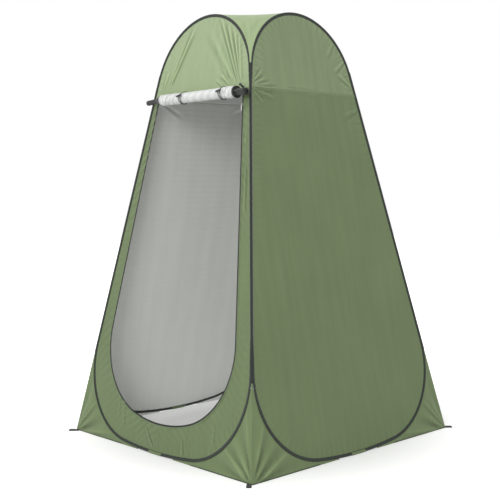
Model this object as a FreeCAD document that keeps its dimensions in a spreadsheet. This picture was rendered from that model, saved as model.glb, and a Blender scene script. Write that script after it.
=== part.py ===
import FreeCAD, Part
import math
import os

import Sketcher

# Pop-up privacy shower tent: four leaning walls round a square of ground, each a cloth panel held open by
# a closed hoop of spring-steel wire in a folded tape binding, with a cloth roof between the hoops' tops.
# Lengths are millimetres. The origin is on the ground at the middle of the square, +Z is up and the
# doorway faces -Y. Each wall is drawn flat in its own frame: X across it as seen from outside, Y up its
# slope, Z out of its inner face. The four inner faces meet in the four fold lines at the corners.

doc = FreeCAD.newDocument("PrivacyTent")

SIZES = (
    ("base_width", 1200, "ground square, fold line to fold line"),
    ("wall_lean", 10.45, "degrees that each wall leans inwards"),
    ("crown_height", 1884, "top of the wire, measured up the wall's slope"),
    ("foot_radius", 335, "wire's bend at the two lower corners of a wall"),
    ("ground_radius", 2000, "wire's slight curve along the ground"),
    ("wire_diameter", 2.4, "spring-steel wire"),
    ("wire_gap", 1.5, "between the wire's two ends, inside the ferrule"),
    ("ferrule_length", 40, "crimped tube that joins the wire's ends"),
    ("ferrule_wall", 0.5, "wall of that tube"),
    ("tape_thickness", 0.7, "one layer of the binding tape"),
    ("ferrule_room", 0.3, "room pressed into the tape's fold round the ferrule"),
    ("binding_width", 9, "folded tape, as seen on the wall"),
    ("corner_gap", 2, "from a fold line to the binding or cloth beside it"),
    ("cloth_thickness", 1, "wall cloth with its silver lining"),
    ("cloth_gap", 0.3, "between the panel's edge and the ferrule, in the fold of the tape"),
    ("cover_length", 85, "cloth patch over the wire's joint"),
    ("cover_depth", 11, "how far the patch reaches up the wall"),
    ("cover_thickness", 0.8, "cloth of the patch"),
    ("ground_clearance", 0.3, "cloth and patches stay this far above the ground"),
    ("seam_drop", 344, "from the top of the wire down to the seam between upper and lower panel"),
    ("gusset_start", 120, "from a wall's middle to the near end of its corner gusset"),
    ("gusset_height", 350, "top of the corner gusset, up the slope"),
    ("door_margin", 38, "from the wire to the doorway's side, at the seam"),
    ("door_lean", 7.6, "degrees between a doorway side and the wall's middle line"),
    ("door_sill", 113, "lowest point of the doorway, up the slope"),
    ("door_foot_radius", 300, "doorway's lower corners"),
    ("door_sill_radius", 680, "doorway's curved sill"),
    ("zip_inside", 3, "teeth that stand inside the doorway"),
    ("zip_outside", 7, "tape sewn on round the doorway"),
    ("zip_thickness", 1.2, "zip tape with its teeth"),
    ("doorway_overrun", 8, "how far a doorway cut runs past the seam"),
    ("slider_drop", 70, "from the seam down to the closed end of the slider's travel"),
    ("slider_length", 12, "along the zip"),
    ("slider_width", 10.5, "across the zip"),
    ("slider_wall", 2, "plate over the teeth"),
    ("slider_lip", 1.2, "plate under the teeth"),
    ("moving_gap", 0.3, "clearance beside each moving part"),
    ("bail_diameter", 1.8, "bar that holds the pull"),
    ("bail_length", 4, "bar between its two posts"),
    ("bail_post", 1, "thickness of each post"),
    ("pull_eye", 4.6, "outside diameter of the pull's eye"),
    ("pull_width", 6, "grip plate"),
    ("pull_length", 24, "eye's middle to the end of the grip plate"),
    ("pull_thickness", 1.2, "grip plate"),
    ("tab_width", 8, "ribbon tab over the zip's upper end"),
    ("tab_length", 24, "ribbon tab"),
    ("tab_rise", 16, "from the seam up to the ribbon tab"),
    ("tab_inset", 10, "from the doorway's side to the middle of the ribbon tab"),
    ("roll_diameter", 50, "rolled-up door"),
    ("roll_rise", 5, "from the seam up to the top of the roll"),
    ("roll_gap", 2, "between the binding's face and the roll"),
    ("roll_left_inset", 67, "from the doorway's left side to the rolled cloth"),
    ("roll_right_inset", 6, "from the end of the rolled cloth to the doorway's right side"),
    ("left_end_length", 118, "rolled zip tape past the left end"),
    ("left_cone_length", 42, "cone of that end"),
    ("left_tip_diameter", 24, "narrow part of that end"),
    ("right_end_length", 69, "rolled zip tape past the right end"),
    ("right_knob_length", 61, "narrower knob of that length"),
    ("right_knob_diameter", 30, "that knob"),
    ("door_hem", 1, "door's sewn edge above the seam"),
    ("tie_left_inset", 145, "from the left end of the rolled cloth to the left tie"),
    ("tie_right_inset", 78, "from its right end to the right tie"),
    ("tie_width", 6, "tie band"),
    ("tie_thickness", 1.4, "tie band"),
    ("tie_slack", 0.5, "gap beside the door's edge where a tie passes it"),
    ("toggle_length", 30, "toggle bar"),
    ("toggle_diameter", 8, "toggle bar"),
    ("toggle_waist", 4.4, "waist where the cord holds the bar"),
    ("toggle_waist_length", 7, "waist"),
    ("toggle_cord", 1.8, "cord round the waist"),
    ("toggle_climb", 5, "degrees that the toggle sits up round the roll"),
    ("toggle_skew", 12, "degrees between a toggle and the roll"),
    ("loop_width", 20, "stake loop webbing"),
    ("loop_length", 44, "stake loop, from the wall to its end"),
    ("loop_layer", 1.2, "one layer of webbing"),
    ("loop_slack", 2.4, "between its two layers"),
    ("loop_root", 14, "sewn length where the layers meet"),
    ("roof_thickness", 1, "roof cloth"),
)

sheet = doc.addObject("Spreadsheet::Sheet", "sizes")
for row, (alias, number, note) in enumerate(SIZES, start=1):
    sheet.set(f"A{row}", note)
    sheet.set(f"B{row}", str(number))
    sheet.setAlias(f"B{row}", alias)
doc.recompute()


class Size:
    """A length or angle with the sheet expression that gives it."""

    def __init__(self, text, number):
        self.text = text
        self.number = number

    def joined(self, other, sign, number):
        return Size(f"({self.text} {sign} {as_size(other).text})", number)

    def __add__(self, other):
        return self.joined(other, "+", self.number + as_size(other).number)

    def __sub__(self, other):
        return self.joined(other, "-", self.number - as_size(other).number)

    def __mul__(self, other):
        return self.joined(other, "*", self.number * as_size(other).number)

    def __truediv__(self, other):
        return self.joined(other, "/", self.number / as_size(other).number)

    def __neg__(self):
        return Size(f"(0 - {self.text})", -self.number)


def as_size(value):
    return value if isinstance(value, Size) else Size(f"({value})", float(value))


def sine(angle):
    return Size(f"sin({angle.text})", math.sin(math.radians(angle.number)))


def cosine(angle):
    return Size(f"cos({angle.text})", math.cos(math.radians(angle.number)))


def tangent(angle):
    return Size(f"tan({angle.text})", math.tan(math.radians(angle.number)))


size = {alias: Size(f"sizes.{alias}", float(sheet.get(alias))) for alias, number, note in SIZES}

# Levels through a wall, out from its inner face, and distances across the binding from the wire.
zero = as_size(0)
half_base = size["base_width"] / 2
ferrule_radius = size["wire_diameter"] / 2 + size["ferrule_wall"]
binding_depth = ferrule_radius * 2 + size["tape_thickness"] * 2
wire_depth = binding_depth / 2
cloth_face = size["tape_thickness"] + size["cloth_thickness"]
binding_outer = ferrule_radius + size["tape_thickness"]
binding_inner = size["binding_width"] - binding_outer
cloth_edge = -(ferrule_radius + size["cloth_gap"])

# A fold line, seen square to a wall, leans by corner_lean from the wall's middle line.
corner_lean = Size(
    f"(atan(sin({size['wall_lean'].text})) / 1 deg)",
    math.degrees(math.atan(math.sin(math.radians(size["wall_lean"].number)))),
)
foot_clearance = (size["ground_clearance"] + size["cover_thickness"]) / cosine(size["wall_lean"])
wire_low = foot_clearance + size["cover_thickness"] * tangent(size["wall_lean"]) + binding_outer


class Curve:
    """A doorway's or hoop's outline: sill arc, two foot arcs and two straight leaning sides."""

    def __init__(self, low, sill_radius, foot_radius, lean, offset):
        self.low = low
        self.sill_radius = sill_radius
        self.foot_radius = foot_radius
        self.lean = lean
        self.offset = offset
        self.sill_centre = low + sill_radius
        tilt = math.radians(lean.number)
        span = sill_radius.number - foot_radius.number
        reach = offset.number - foot_radius.number - math.sin(tilt) * self.sill_centre.number
        # A foot arc is centred where it touches both the sill arc and the side from within.
        self.turn = tilt - math.acos(reach / span)
        self.foot_x = span * math.cos(self.turn)
        self.foot_y = self.sill_centre.number + span * math.sin(self.turn)

    def side_x(self, height):
        """Half-width of the straight side at a height up the slope."""
        return self.offset / cosine(self.lean) - height * tangent(self.lean)

    def crown_centre(self, height):
        """Height of the centre of the arc that tops both sides and reaches the given height."""
        radius = (self.offset - height * sine(self.lean)) / (as_size(1) - sine(self.lean))
        return height - radius


hoop = Curve(
    wire_low,
    size["ground_radius"],
    size["foot_radius"],
    corner_lean,
    half_base * cosine(corner_lean) - size["corner_gap"] - binding_outer,
)
hoop_crown = hoop.crown_centre(size["crown_height"])
seam_height = size["crown_height"] - size["seam_drop"]
door_top_half = hoop.side_x(seam_height) - size["door_margin"]
door = Curve(
    size["door_sill"],
    size["door_sill_radius"],
    size["door_foot_radius"],
    size["door_lean"],
    door_top_half * cosine(size["door_lean"]) + seam_height * sine(size["door_lean"]),
)


def wall_frame(turns):
    """Placement of a wall's flat frame; turns counts quarter turns from the front wall."""
    lean = FreeCAD.Rotation(FreeCAD.Vector(1, 0, 0), 90 - size["wall_lean"].number)
    yaw = FreeCAD.Rotation(FreeCAD.Vector(0, 0, 1), 90 * turns)
    base = yaw.multVec(FreeCAD.Vector(0, -half_base.number, 0))
    return FreeCAD.Placement(base, yaw.multiply(lean))


def shifted(frame, across, up, out, rotation=None):
    """A frame moved within its own axes, then turned."""
    move = FreeCAD.Vector(as_size(across).number, as_size(up).number, as_size(out).number)
    return frame.multiply(FreeCAD.Placement(move, rotation or FreeCAD.Rotation()))


def new_body(label, frame):
    body = doc.addObject("PartDesign::Body", label)
    body.Label = label
    body.Placement = frame
    return body


def new_sketch(body, name, plane="XY_Plane", level=zero):
    """A sketch on one of the body's own planes, moved along the plane's normal by level."""
    sketch = body.newObject("Sketcher::SketchObject", f"{body.Name}_{name}")
    support = next(p for p in body.Origin.OriginFeatures if p.Role == plane)
    sketch.AttachmentSupport = [(support, "")]
    sketch.MapMode = "FlatFace"
    sketch.setExpression("AttachmentOffset.Base.z", level.text)
    return sketch


def pad(body, sketch, thickness):
    feature = body.newObject("PartDesign::Pad", f"{sketch.Name}_pad")
    feature.Profile = sketch
    feature.setExpression("Length", thickness.text)
    return feature


def pocket(body, sketch, depth):
    """Cuts from the sketch along its normal."""
    feature = body.newObject("PartDesign::Pocket", f"{sketch.Name}_pocket")
    feature.Profile = sketch
    feature.Reversed = True
    feature.setExpression("Length", depth.text)
    return feature


def bind(sketch, kind, *args):
    """Adds a driving dimension, the last argument, held to its sheet expression."""
    measure = args[-1]
    number = math.radians(measure.number) if kind == "Angle" else measure.number
    index = sketch.addConstraint(Sketcher.Constraint(kind, *args[:-1], number))
    sketch.setExpression(f"Constraints[{index}]", measure.text)


def pin_point(sketch, edge, end, x, y):
    """Holds a point of the sketch at x, y from its origin."""
    for kind, axis, measure in (("DistanceX", -2, x), ("DistanceY", -1, y)):
        if abs(measure.number) < 1e-9:
            sketch.addConstraint(Sketcher.Constraint("PointOnObject", edge, end, axis))
        else:
            bind(sketch, kind, -1, 1, edge, end, measure)


def arc(x, y, radius, start, finish):
    """Arc about x, y from the start angle to the finish angle, in radians."""
    circle = Part.Circle(FreeCAD.Vector(x, y, 0), FreeCAD.Vector(0, 0, 1), radius)
    return Part.ArcOfCircle(circle, start, finish)


def polygon(sketch, points):
    """Closed straight-sided outline with each corner bound to the sheet."""
    first = sketch.GeometryCount
    corners = [FreeCAD.Vector(x.number, y.number, 0) for x, y in points]
    for i, corner in enumerate(corners):
        sketch.addGeometry(Part.LineSegment(corner, corners[(i + 1) % len(corners)]), False)
    for i, (x, y) in enumerate(points):
        after = first + (i + 1) % len(points)
        sketch.addConstraint(Sketcher.Constraint("Coincident", first + i, 2, after, 1))
        pin_point(sketch, first + i, 1, x, y)


def rectangle(sketch, low_x, high_x, low_y, high_y):
    polygon(sketch, [(low_x, low_y), (high_x, low_y), (high_x, high_y), (low_x, high_y)])


def circle(sketch, x, y, radius):
    edge = sketch.addGeometry(
        Part.Circle(FreeCAD.Vector(x.number, y.number, 0), FreeCAD.Vector(0, 0, 1), radius.number), False
    )
    pin_point(sketch, edge, 3, x, y)
    bind(sketch, "Radius", edge, radius)


def side_ends(curve, grow, top):
    """Lower and upper end of the right-hand side line of an outline that runs grow outside the curve."""
    tilt = math.radians(curve.lean.number)
    across, along = math.cos(tilt), math.sin(tilt)
    reach = curve.foot_radius.number + grow
    low = (curve.foot_x + reach * across, curve.foot_y + reach * along)
    if top[0] == "seam":
        height = top[1].number
        return low, ((curve.offset.number + grow - height * along) / across, height)
    radius = curve.offset.number + grow - top[1].number * along
    return low, (radius * across, top[1].number + radius * along)


def hold_side(sketch, edge, curve, grow, right):
    """Binds one straight side of an outline to its lean and its distance from the wall's origin."""
    lean = as_size(90) + curve.lean if right else as_size(90) - curve.lean
    bind(sketch, "Angle", edge, lean)
    bind(sketch, "Distance", -1, 1, edge, curve.offset + grow)


def close_top(sketch, curve, grow, top, right, left):
    """Joins the upper ends of the two side lines with a crown arc or with the level seam line."""
    if top[0] == "seam":
        ends = side_ends(curve, grow.number, top)[1]
        line = Part.LineSegment(FreeCAD.Vector(*ends, 0), FreeCAD.Vector(-ends[0], ends[1], 0))
        edge = sketch.addGeometry(line, False)
        sketch.addConstraint(Sketcher.Constraint("Coincident", right, 2, edge, 1))
        sketch.addConstraint(Sketcher.Constraint("Coincident", edge, 2, left, 2))
        sketch.addConstraint(Sketcher.Constraint("Horizontal", edge))
        bind(sketch, "DistanceY", -1, 1, edge, 1, top[1])
        return
    tilt = math.radians(curve.lean.number)
    radius = curve.offset.number + grow.number - top[1].number * math.sin(tilt)
    edge = sketch.addGeometry(arc(0, top[1].number, radius, tilt, math.pi - tilt), False)
    sketch.addConstraint(Sketcher.Constraint("Tangent", right, 2, edge, 1))
    sketch.addConstraint(Sketcher.Constraint("Tangent", edge, 2, left, 2))
    bind(sketch, "DistanceY", -1, 1, edge, 3, top[1])


def outline(sketch, curve, grow, top, gap=None):
    """Closed outline that runs grow outside the curve, topped by ("crown", centre) or ("seam", height).

    With a gap the sill arc is in two parts, and the outline is open beside the wall's middle line.
    """
    turn, tilt = curve.turn, math.radians(curve.lean.number)
    sill = curve.sill_radius.number + grow.number
    foot = curve.foot_radius.number + grow.number
    centre = curve.sill_centre.number
    low, high = side_ends(curve, grow.number, top)
    down, flat = -math.pi / 2, math.pi
    if gap is None:
        sills = [arc(0, centre, sill, flat - turn, 2 * flat + turn)]
    else:
        shut = down - math.asin(gap.number / sill)
        sills = [arc(0, centre, sill, down, turn), arc(0, centre, sill, -flat - turn, shut)]
    geometry = [
        *sills,
        arc(curve.foot_x, curve.foot_y, foot, turn, tilt),
        arc(-curve.foot_x, curve.foot_y, foot, flat - tilt, flat - turn),
        Part.LineSegment(FreeCAD.Vector(*low, 0), FreeCAD.Vector(*high, 0)),
        Part.LineSegment(FreeCAD.Vector(-low[0], low[1], 0), FreeCAD.Vector(-high[0], high[1], 0)),
    ]
    first = sketch.GeometryCount
    for item in geometry:
        sketch.addGeometry(item, False)
    last_sill = first + len(sills) - 1
    right_foot, left_foot = last_sill + 1, last_sill + 2
    right_side, left_side = last_sill + 3, last_sill + 4
    sketch.addConstraint(Sketcher.Constraint("Tangent", first, 2, right_foot, 1))
    sketch.addConstraint(Sketcher.Constraint("Tangent", right_foot, 2, right_side, 1))
    sketch.addConstraint(Sketcher.Constraint("Tangent", left_foot, 2, last_sill, 1))
    sketch.addConstraint(Sketcher.Constraint("Tangent", left_side, 1, left_foot, 1))
    pin_point(sketch, first, 3, zero, curve.sill_centre)
    bind(sketch, "Radius", first, curve.sill_radius + grow)
    for foot_edge in (right_foot, left_foot):
        bind(sketch, "Radius", foot_edge, curve.foot_radius + grow)
    hold_side(sketch, right_side, curve, grow, True)
    hold_side(sketch, left_side, curve, grow, False)
    if gap is not None:
        sketch.addConstraint(Sketcher.Constraint("Coincident", first, 3, last_sill, 3))
        sketch.addConstraint(Sketcher.Constraint("Equal", first, last_sill))
        sketch.addConstraint(Sketcher.Constraint("PointOnObject", first, 1, -2))
        bind(sketch, "DistanceX", -1, 1, last_sill, 2, -gap)
    close_top(sketch, curve, grow, top, right_side, left_side)


def upper_outline(sketch, curve, grow, crown, seam):
    """Closed outline of the part of the curve above the seam."""
    low_x, low_y = side_ends(curve, grow.number, ("seam", seam))[1]
    high_x, high_y = side_ends(curve, grow.number, ("crown", crown))[1]
    right = sketch.addGeometry(
        Part.LineSegment(FreeCAD.Vector(low_x, low_y, 0), FreeCAD.Vector(high_x, high_y, 0)), False
    )
    left = sketch.addGeometry(
        Part.LineSegment(FreeCAD.Vector(-low_x, low_y, 0), FreeCAD.Vector(-high_x, high_y, 0)), False
    )
    base = sketch.addGeometry(
        Part.LineSegment(FreeCAD.Vector(-low_x, low_y, 0), FreeCAD.Vector(low_x, low_y, 0)), False
    )
    sketch.addConstraint(Sketcher.Constraint("Coincident", base, 1, left, 1))
    sketch.addConstraint(Sketcher.Constraint("Coincident", base, 2, right, 1))
    sketch.addConstraint(Sketcher.Constraint("Horizontal", base))
    bind(sketch, "DistanceY", -1, 1, base, 1, seam)
    hold_side(sketch, right, curve, grow, True)
    hold_side(sketch, left, curve, grow, False)
    close_top(sketch, curve, grow, ("crown", crown), right, left)


def swept_about_hoop_centre(body, sketch, length):
    """Turns the profile, drawn on the wall's middle plane, about the sill arc's centre by a length."""
    axis = sketch.addGeometry(
        Part.LineSegment(
            FreeCAD.Vector(hoop.sill_centre.number, 0, 0), FreeCAD.Vector(hoop.sill_centre.number, 50, 0)
        ),
        True,
    )
    sketch.addConstraint(Sketcher.Constraint("Vertical", axis))
    pin_point(sketch, axis, 1, hoop.sill_centre, zero)
    bind(sketch, "DistanceY", axis, 1, axis, 2, as_size(50))
    feature = body.newObject("PartDesign::Revolution", f"{sketch.Name}_turn")
    feature.Profile = sketch
    feature.ReferenceAxis = (sketch, ["Axis0"])
    feature.Midplane = True
    feature.setExpression("Angle", (length / hoop.sill_radius * (180 / math.pi)).text)
    return feature


def turned_along_x(body, name, axis_y, level, points):
    """Solid turned about a line along X, from a closed profile of (x, distance from the line)."""
    sketch = new_sketch(body, name, level=level)
    polygon(sketch, [(x, axis_y + out) for x, out in points])
    axis = sketch.addGeometry(
        Part.LineSegment(
            FreeCAD.Vector(points[0][0].number, axis_y.number, 0),
            FreeCAD.Vector(points[-1][0].number, axis_y.number, 0),
        ),
        True,
    )
    pin_point(sketch, axis, 1, points[0][0], axis_y)
    pin_point(sketch, axis, 2, points[-1][0], axis_y)
    feature = body.newObject("PartDesign::Revolution", f"{sketch.Name}_turn")
    feature.Profile = sketch
    feature.ReferenceAxis = (sketch, ["Axis0"])
    feature.Angle = 360
    return feature


# ---- the hoop: wire, ferrule, folded tape binding and the patch over its joint ----

crown_top = ("crown", hoop_crown)


def hoop_wire(wall, frame):
    """One length of spring wire bent to the hoop, its two ends a small gap apart."""
    body = new_body(f"hoop_wire_{wall}", frame)
    path = new_sketch(body, "path", level=wire_depth)
    outline(path, hoop, zero, crown_top, gap=size["wire_gap"])
    section = new_sketch(body, "section", plane="YZ_Plane")
    circle(section, wire_low, wire_depth, size["wire_diameter"] / 2)
    feature = body.newObject("PartDesign::AdditivePipe", f"{body.Name}_sweep")
    feature.Profile = section
    feature.Spine = (path, [])
    feature.Mode = "Standard"


def hoop_ferrule(wall, frame):
    """Tube over both ends of the wire, crimped square."""
    body = new_body(f"hoop_ferrule_{wall}", frame)
    section = new_sketch(body, "section", plane="YZ_Plane")
    low, high = wire_low - ferrule_radius, wire_low + ferrule_radius
    rectangle(section, low, high, wire_depth - ferrule_radius, wire_depth + ferrule_radius)
    circle(section, wire_low, wire_depth, size["wire_diameter"] / 2)
    swept_about_hoop_centre(body, section, size["ferrule_length"])


def hoop_sleeve(wall, frame):
    """Tape folded round the wire; the panel's edge goes into the fold."""
    body = new_body(f"hoop_sleeve_{wall}", frame)
    ring = new_sketch(body, "ring")
    outline(ring, hoop, binding_outer, crown_top)
    outline(ring, hoop, -binding_inner, crown_top)
    pad(body, ring, binding_depth)
    fold = new_sketch(body, "fold", level=size["tape_thickness"])
    outline(fold, hoop, ferrule_radius, crown_top)
    outline(fold, hoop, -size["binding_width"], crown_top)
    pocket(body, fold, ferrule_radius * 2)
    room = new_sketch(body, "ferrule_room", level=size["tape_thickness"])
    half = size["ferrule_length"] / 2 + size["ferrule_room"]
    rectangle(room, -half, half, wire_low - ferrule_radius - size["ferrule_room"], wire_low)
    pocket(body, room, ferrule_radius * 2)


def sleeve_cover(wall, frame):
    """Cloth patch folded up over the binding where the wire's ends are joined."""
    body = new_body(f"sleeve_cover_{wall}", frame)
    section = new_sketch(body, "section", plane="YZ_Plane")
    under = wire_low - binding_outer
    low = under - size["cover_thickness"]
    high = under + size["cover_depth"]
    back = -size["cover_thickness"]
    face = binding_depth + size["cover_thickness"]
    polygon(
        section,
        [
            (low, back),
            (low, face),
            (high, face),
            (high, binding_depth),
            (under, binding_depth),
            (under, zero),
            (high, zero),
            (high, back),
        ],
    )
    swept_about_hoop_centre(body, section, size["cover_length"])


# ---- the cloth: upper and lower panels, door surround, corner gussets ----


def upper_panel(wall, frame):
    body = new_body(f"panel_{wall}_upper", frame)
    sketch = new_sketch(body, "cut", level=size["tape_thickness"])
    upper_outline(sketch, hoop, cloth_edge, hoop_crown, seam_height)
    pad(body, sketch, size["cloth_thickness"])


def lower_panel(wall, frame):
    body = new_body(f"panel_{wall}_lower", frame)
    sketch = new_sketch(body, "cut", level=size["tape_thickness"])
    outline(sketch, hoop, cloth_edge, ("seam", seam_height))
    pad(body, sketch, size["cloth_thickness"])


def door_surround(frame):
    """Front lower panel: cloth all round the doorway, whose top is the seam."""
    body = new_body("panel_front_door_surround", frame)
    sketch = new_sketch(body, "cut", level=size["tape_thickness"])
    outline(sketch, hoop, cloth_edge, ("seam", seam_height))
    pad(body, sketch, size["cloth_thickness"])
    doorway = new_sketch(body, "doorway", level=size["tape_thickness"])
    outline(doorway, door, zero, doorway_top)
    pocket(body, doorway, size["cloth_thickness"])


def gusset(wall, frame, side):
    """Cloth from the binding's lower bend out to the fold line and the ground."""
    name = "right" if side > 0 else "left"
    body = new_body(f"gusset_{wall}_{name}", frame)
    sketch = new_sketch(body, "cut", level=size["tape_thickness"])
    low = size["ground_clearance"]
    corner = half_base - size["corner_gap"] / cosine(corner_lean)
    polygon(
        sketch,
        [
            (size["gusset_start"] * side, low),
            ((corner - low * tangent(corner_lean)) * side, low),
            ((corner - size["gusset_height"] * tangent(corner_lean)) * side, size["gusset_height"]),
        ],
    )
    pad(body, sketch, size["cloth_thickness"])
    bend = new_sketch(body, "bend", level=size["tape_thickness"])
    outline(bend, hoop, binding_outer, crown_top)
    pocket(body, bend, size["cloth_thickness"])


def stake_loop(label, turns, side):
    """Webbing folded double at a ground corner and sewn to the wall's face; a ground peg goes in the fold."""
    yaw = FreeCAD.Rotation(FreeCAD.Vector(0, 0, 1), 90 * turns)
    diagonal = FreeCAD.Rotation(FreeCAD.Vector(0, 0, 1), 90 * turns - 90 + 45 * side)
    across = half_base.number - size["corner_gap"].number - size["loop_width"].number / math.sqrt(2)
    face = half_base.number + cloth_face.number / math.cos(math.radians(size["wall_lean"].number))
    root = yaw.multVec(FreeCAD.Vector(across * side, -face, 0))
    strip = new_body(f"{label}_strip", FreeCAD.Placement(root, diagonal))
    section = new_sketch(strip, "section", plane="XZ_Plane", level=-(size["loop_width"] / 2))
    inner_low, inner_high = size["loop_layer"], size["loop_layer"] + size["loop_slack"]
    rectangle(section, -size["loop_width"], size["loop_length"], zero, inner_high + size["loop_layer"])
    rectangle(section, size["loop_root"], size["loop_length"] - size["loop_layer"], inner_low, inner_high)
    pad(strip, section, size["loop_width"])
    # The webbing's slanting root ends on the cloth: everything behind the wall's face is cut off.
    behind = doc.addObject("Part::Box", f"{label}_behind_wall")
    reach = size["loop_width"] * 3
    behind.setExpression("Length", (reach * 2).text)
    behind.setExpression("Width", (reach * 2).text)
    behind.setExpression("Height", (reach + cloth_face).text)
    corner = shifted(wall_frame(turns), (half_base - reach) * side - reach, -reach, -reach)
    behind.Placement = corner
    cut = doc.addObject("Part::Cut", label)
    cut.Label = label
    cut.Base = strip
    cut.Tool = behind


# ---- the doorway's zip ----

doorway_top = ("seam", seam_height + size["doorway_overrun"])
slider_height = seam_height - size["slider_drop"]
slider_inner = -(size["zip_inside"] + size["moving_gap"] + size["slider_wall"])
slider_outer = slider_inner + size["slider_width"]
slider_face = cloth_face + size["zip_thickness"] + size["moving_gap"] + size["slider_wall"]
bail_middle = (slider_inner + slider_outer) / 2
bail_level = slider_face + size["moving_gap"] + size["pull_eye"] / 2


def door_zip_tape(frame):
    """Zip tape with its teeth, sewn on round both sides and the sill of the doorway."""
    body = new_body("door_zip_tape", frame)
    sketch = new_sketch(body, "tape", level=cloth_face)
    outline(sketch, door, size["zip_outside"], ("seam", seam_height))
    pad(body, sketch, size["zip_thickness"])
    inside = new_sketch(body, "inside", level=cloth_face)
    outline(inside, door, -size["zip_inside"], doorway_top)
    pocket(body, inside, size["zip_thickness"])


def slider_frame(frame):
    """Frame on the doorway's right edge at the slider, with Y along that edge."""
    lean = FreeCAD.Rotation(FreeCAD.Vector(0, 0, 1), size["door_lean"].number)
    return shifted(frame, door.side_x(slider_height), slider_height, 0, lean)


def zip_slider(frame):
    """C-shaped slider round the teeth, with a bail for its pull."""
    body = new_body("zip_slider", slider_frame(frame))
    section = new_sketch(body, "section", plane="XZ_Plane", level=-(size["slider_length"] / 2))
    lip_high = cloth_face - size["moving_gap"]
    teeth_end = slider_inner + size["slider_wall"]
    polygon(
        section,
        [
            (slider_inner, lip_high - size["slider_lip"]),
            (-size["moving_gap"], lip_high - size["slider_lip"]),
            (-size["moving_gap"], lip_high),
            (teeth_end, lip_high),
            (teeth_end, slider_face - size["slider_wall"]),
            (slider_outer, slider_face - size["slider_wall"]),
            (slider_outer, slider_face),
            (slider_inner, slider_face),
        ],
    )
    pad(body, section, size["slider_length"])
    posts = new_sketch(body, "posts", plane="XZ_Plane", level=-(size["bail_diameter"] / 2))
    top = bail_level + size["bail_diameter"] / 2
    for side in (-1, 1):
        inner = bail_middle + size["bail_length"] / 2 * side
        outer = inner + size["bail_post"] * side
        low, high = (outer, inner) if side < 0 else (inner, outer)
        rectangle(posts, low, high, slider_face, top)
    pad(body, posts, size["bail_diameter"])
    bar = new_sketch(body, "bar", plane="YZ_Plane", level=bail_middle - size["bail_length"] / 2)
    circle(bar, zero, bail_level, size["bail_diameter"] / 2)
    pad(body, bar, size["bail_length"])


def zip_pull(frame):
    """Pull that swings on the slider's bail."""
    body = new_body("zip_pull", slider_frame(frame))
    width = size["bail_length"] - size["moving_gap"] * 2
    eye = new_sketch(body, "eye", plane="YZ_Plane", level=bail_middle - width / 2)
    hole = size["bail_diameter"] / 2 + size["moving_gap"]
    circle(eye, zero, bail_level, size["pull_eye"] / 2)
    circle(eye, zero, bail_level, hole)
    pad(body, eye, width)
    grip = new_sketch(body, "grip", level=bail_level - size["pull_thickness"] / 2)
    half = size["pull_width"] / 2
    near = (hole + size["pull_eye"] / 2) / 2
    rectangle(grip, bail_middle - half, bail_middle + half, -size["pull_length"], -near)
    pad(body, grip, size["pull_thickness"])


def zip_end_tab(frame):
    """Short ribbon sewn over the zip's upper end."""
    body = new_body("zip_end_tab", frame)
    sketch = new_sketch(body, "ribbon", level=cloth_face)
    half = size["tab_width"] / 2
    middle = door_top_half - size["tab_inset"]
    low = seam_height + size["tab_rise"]
    rectangle(sketch, middle - half, middle + half, low, low + size["tab_length"])
    pad(body, sketch, size["tape_thickness"])


# ---- the rolled-up door, its ties and toggles ----

roll_radius = size["roll_diameter"] / 2
roll_depth = binding_depth + size["roll_gap"] + roll_radius
roll_height = seam_height + size["roll_rise"] - roll_radius
roll_start = size["roll_left_inset"] - door_top_half
roll_finish = door_top_half - size["roll_right_inset"]
hem_low = seam_height + size["door_hem"]
hem_high = hem_low + size["cloth_thickness"]


def door_roll(frame):
    """The door's cloth, rolled up outside the wall; its top edge is sewn on just above the seam."""
    body = new_body("door_roll", frame)
    section = new_sketch(body, "roll", plane="YZ_Plane", level=roll_start)
    circle(section, roll_height, roll_depth, roll_radius)
    pad(body, section, roll_finish - roll_start)
    hem = new_sketch(body, "hem", plane="YZ_Plane", level=roll_start)
    rectangle(hem, hem_low, hem_high, cloth_face, roll_depth)
    pad(body, hem, roll_finish - roll_start)


def door_roll_ends(frame):
    """The rolled zip tapes that stand out past the cloth: a cone and a narrow tip, a disc and a knob."""
    left = new_body("door_roll_end_left", frame)
    tip = size["left_tip_diameter"] / 2
    start = roll_start
    finish = start - size["left_end_length"]
    turned_along_x(
        left,
        "profile",
        roll_height,
        roll_depth,
        [
            (start, zero),
            (start, roll_radius),
            (start - size["left_cone_length"], tip),
            (finish + tip / 2, tip),
            (finish, tip / 2),
            (finish, zero),
        ],
    )
    right = new_body("door_roll_end_right", frame)
    knob = size["right_knob_diameter"] / 2
    start = roll_finish
    finish = start + size["right_end_length"]
    step = finish - size["right_knob_length"]
    turned_along_x(
        right,
        "profile",
        roll_height,
        roll_depth,
        [
            (start, zero),
            (start, roll_radius),
            (step, roll_radius),
            (step, knob),
            (finish - knob / 2, knob),
            (finish, knob / 2),
            (finish, zero),
        ],
    )


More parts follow.
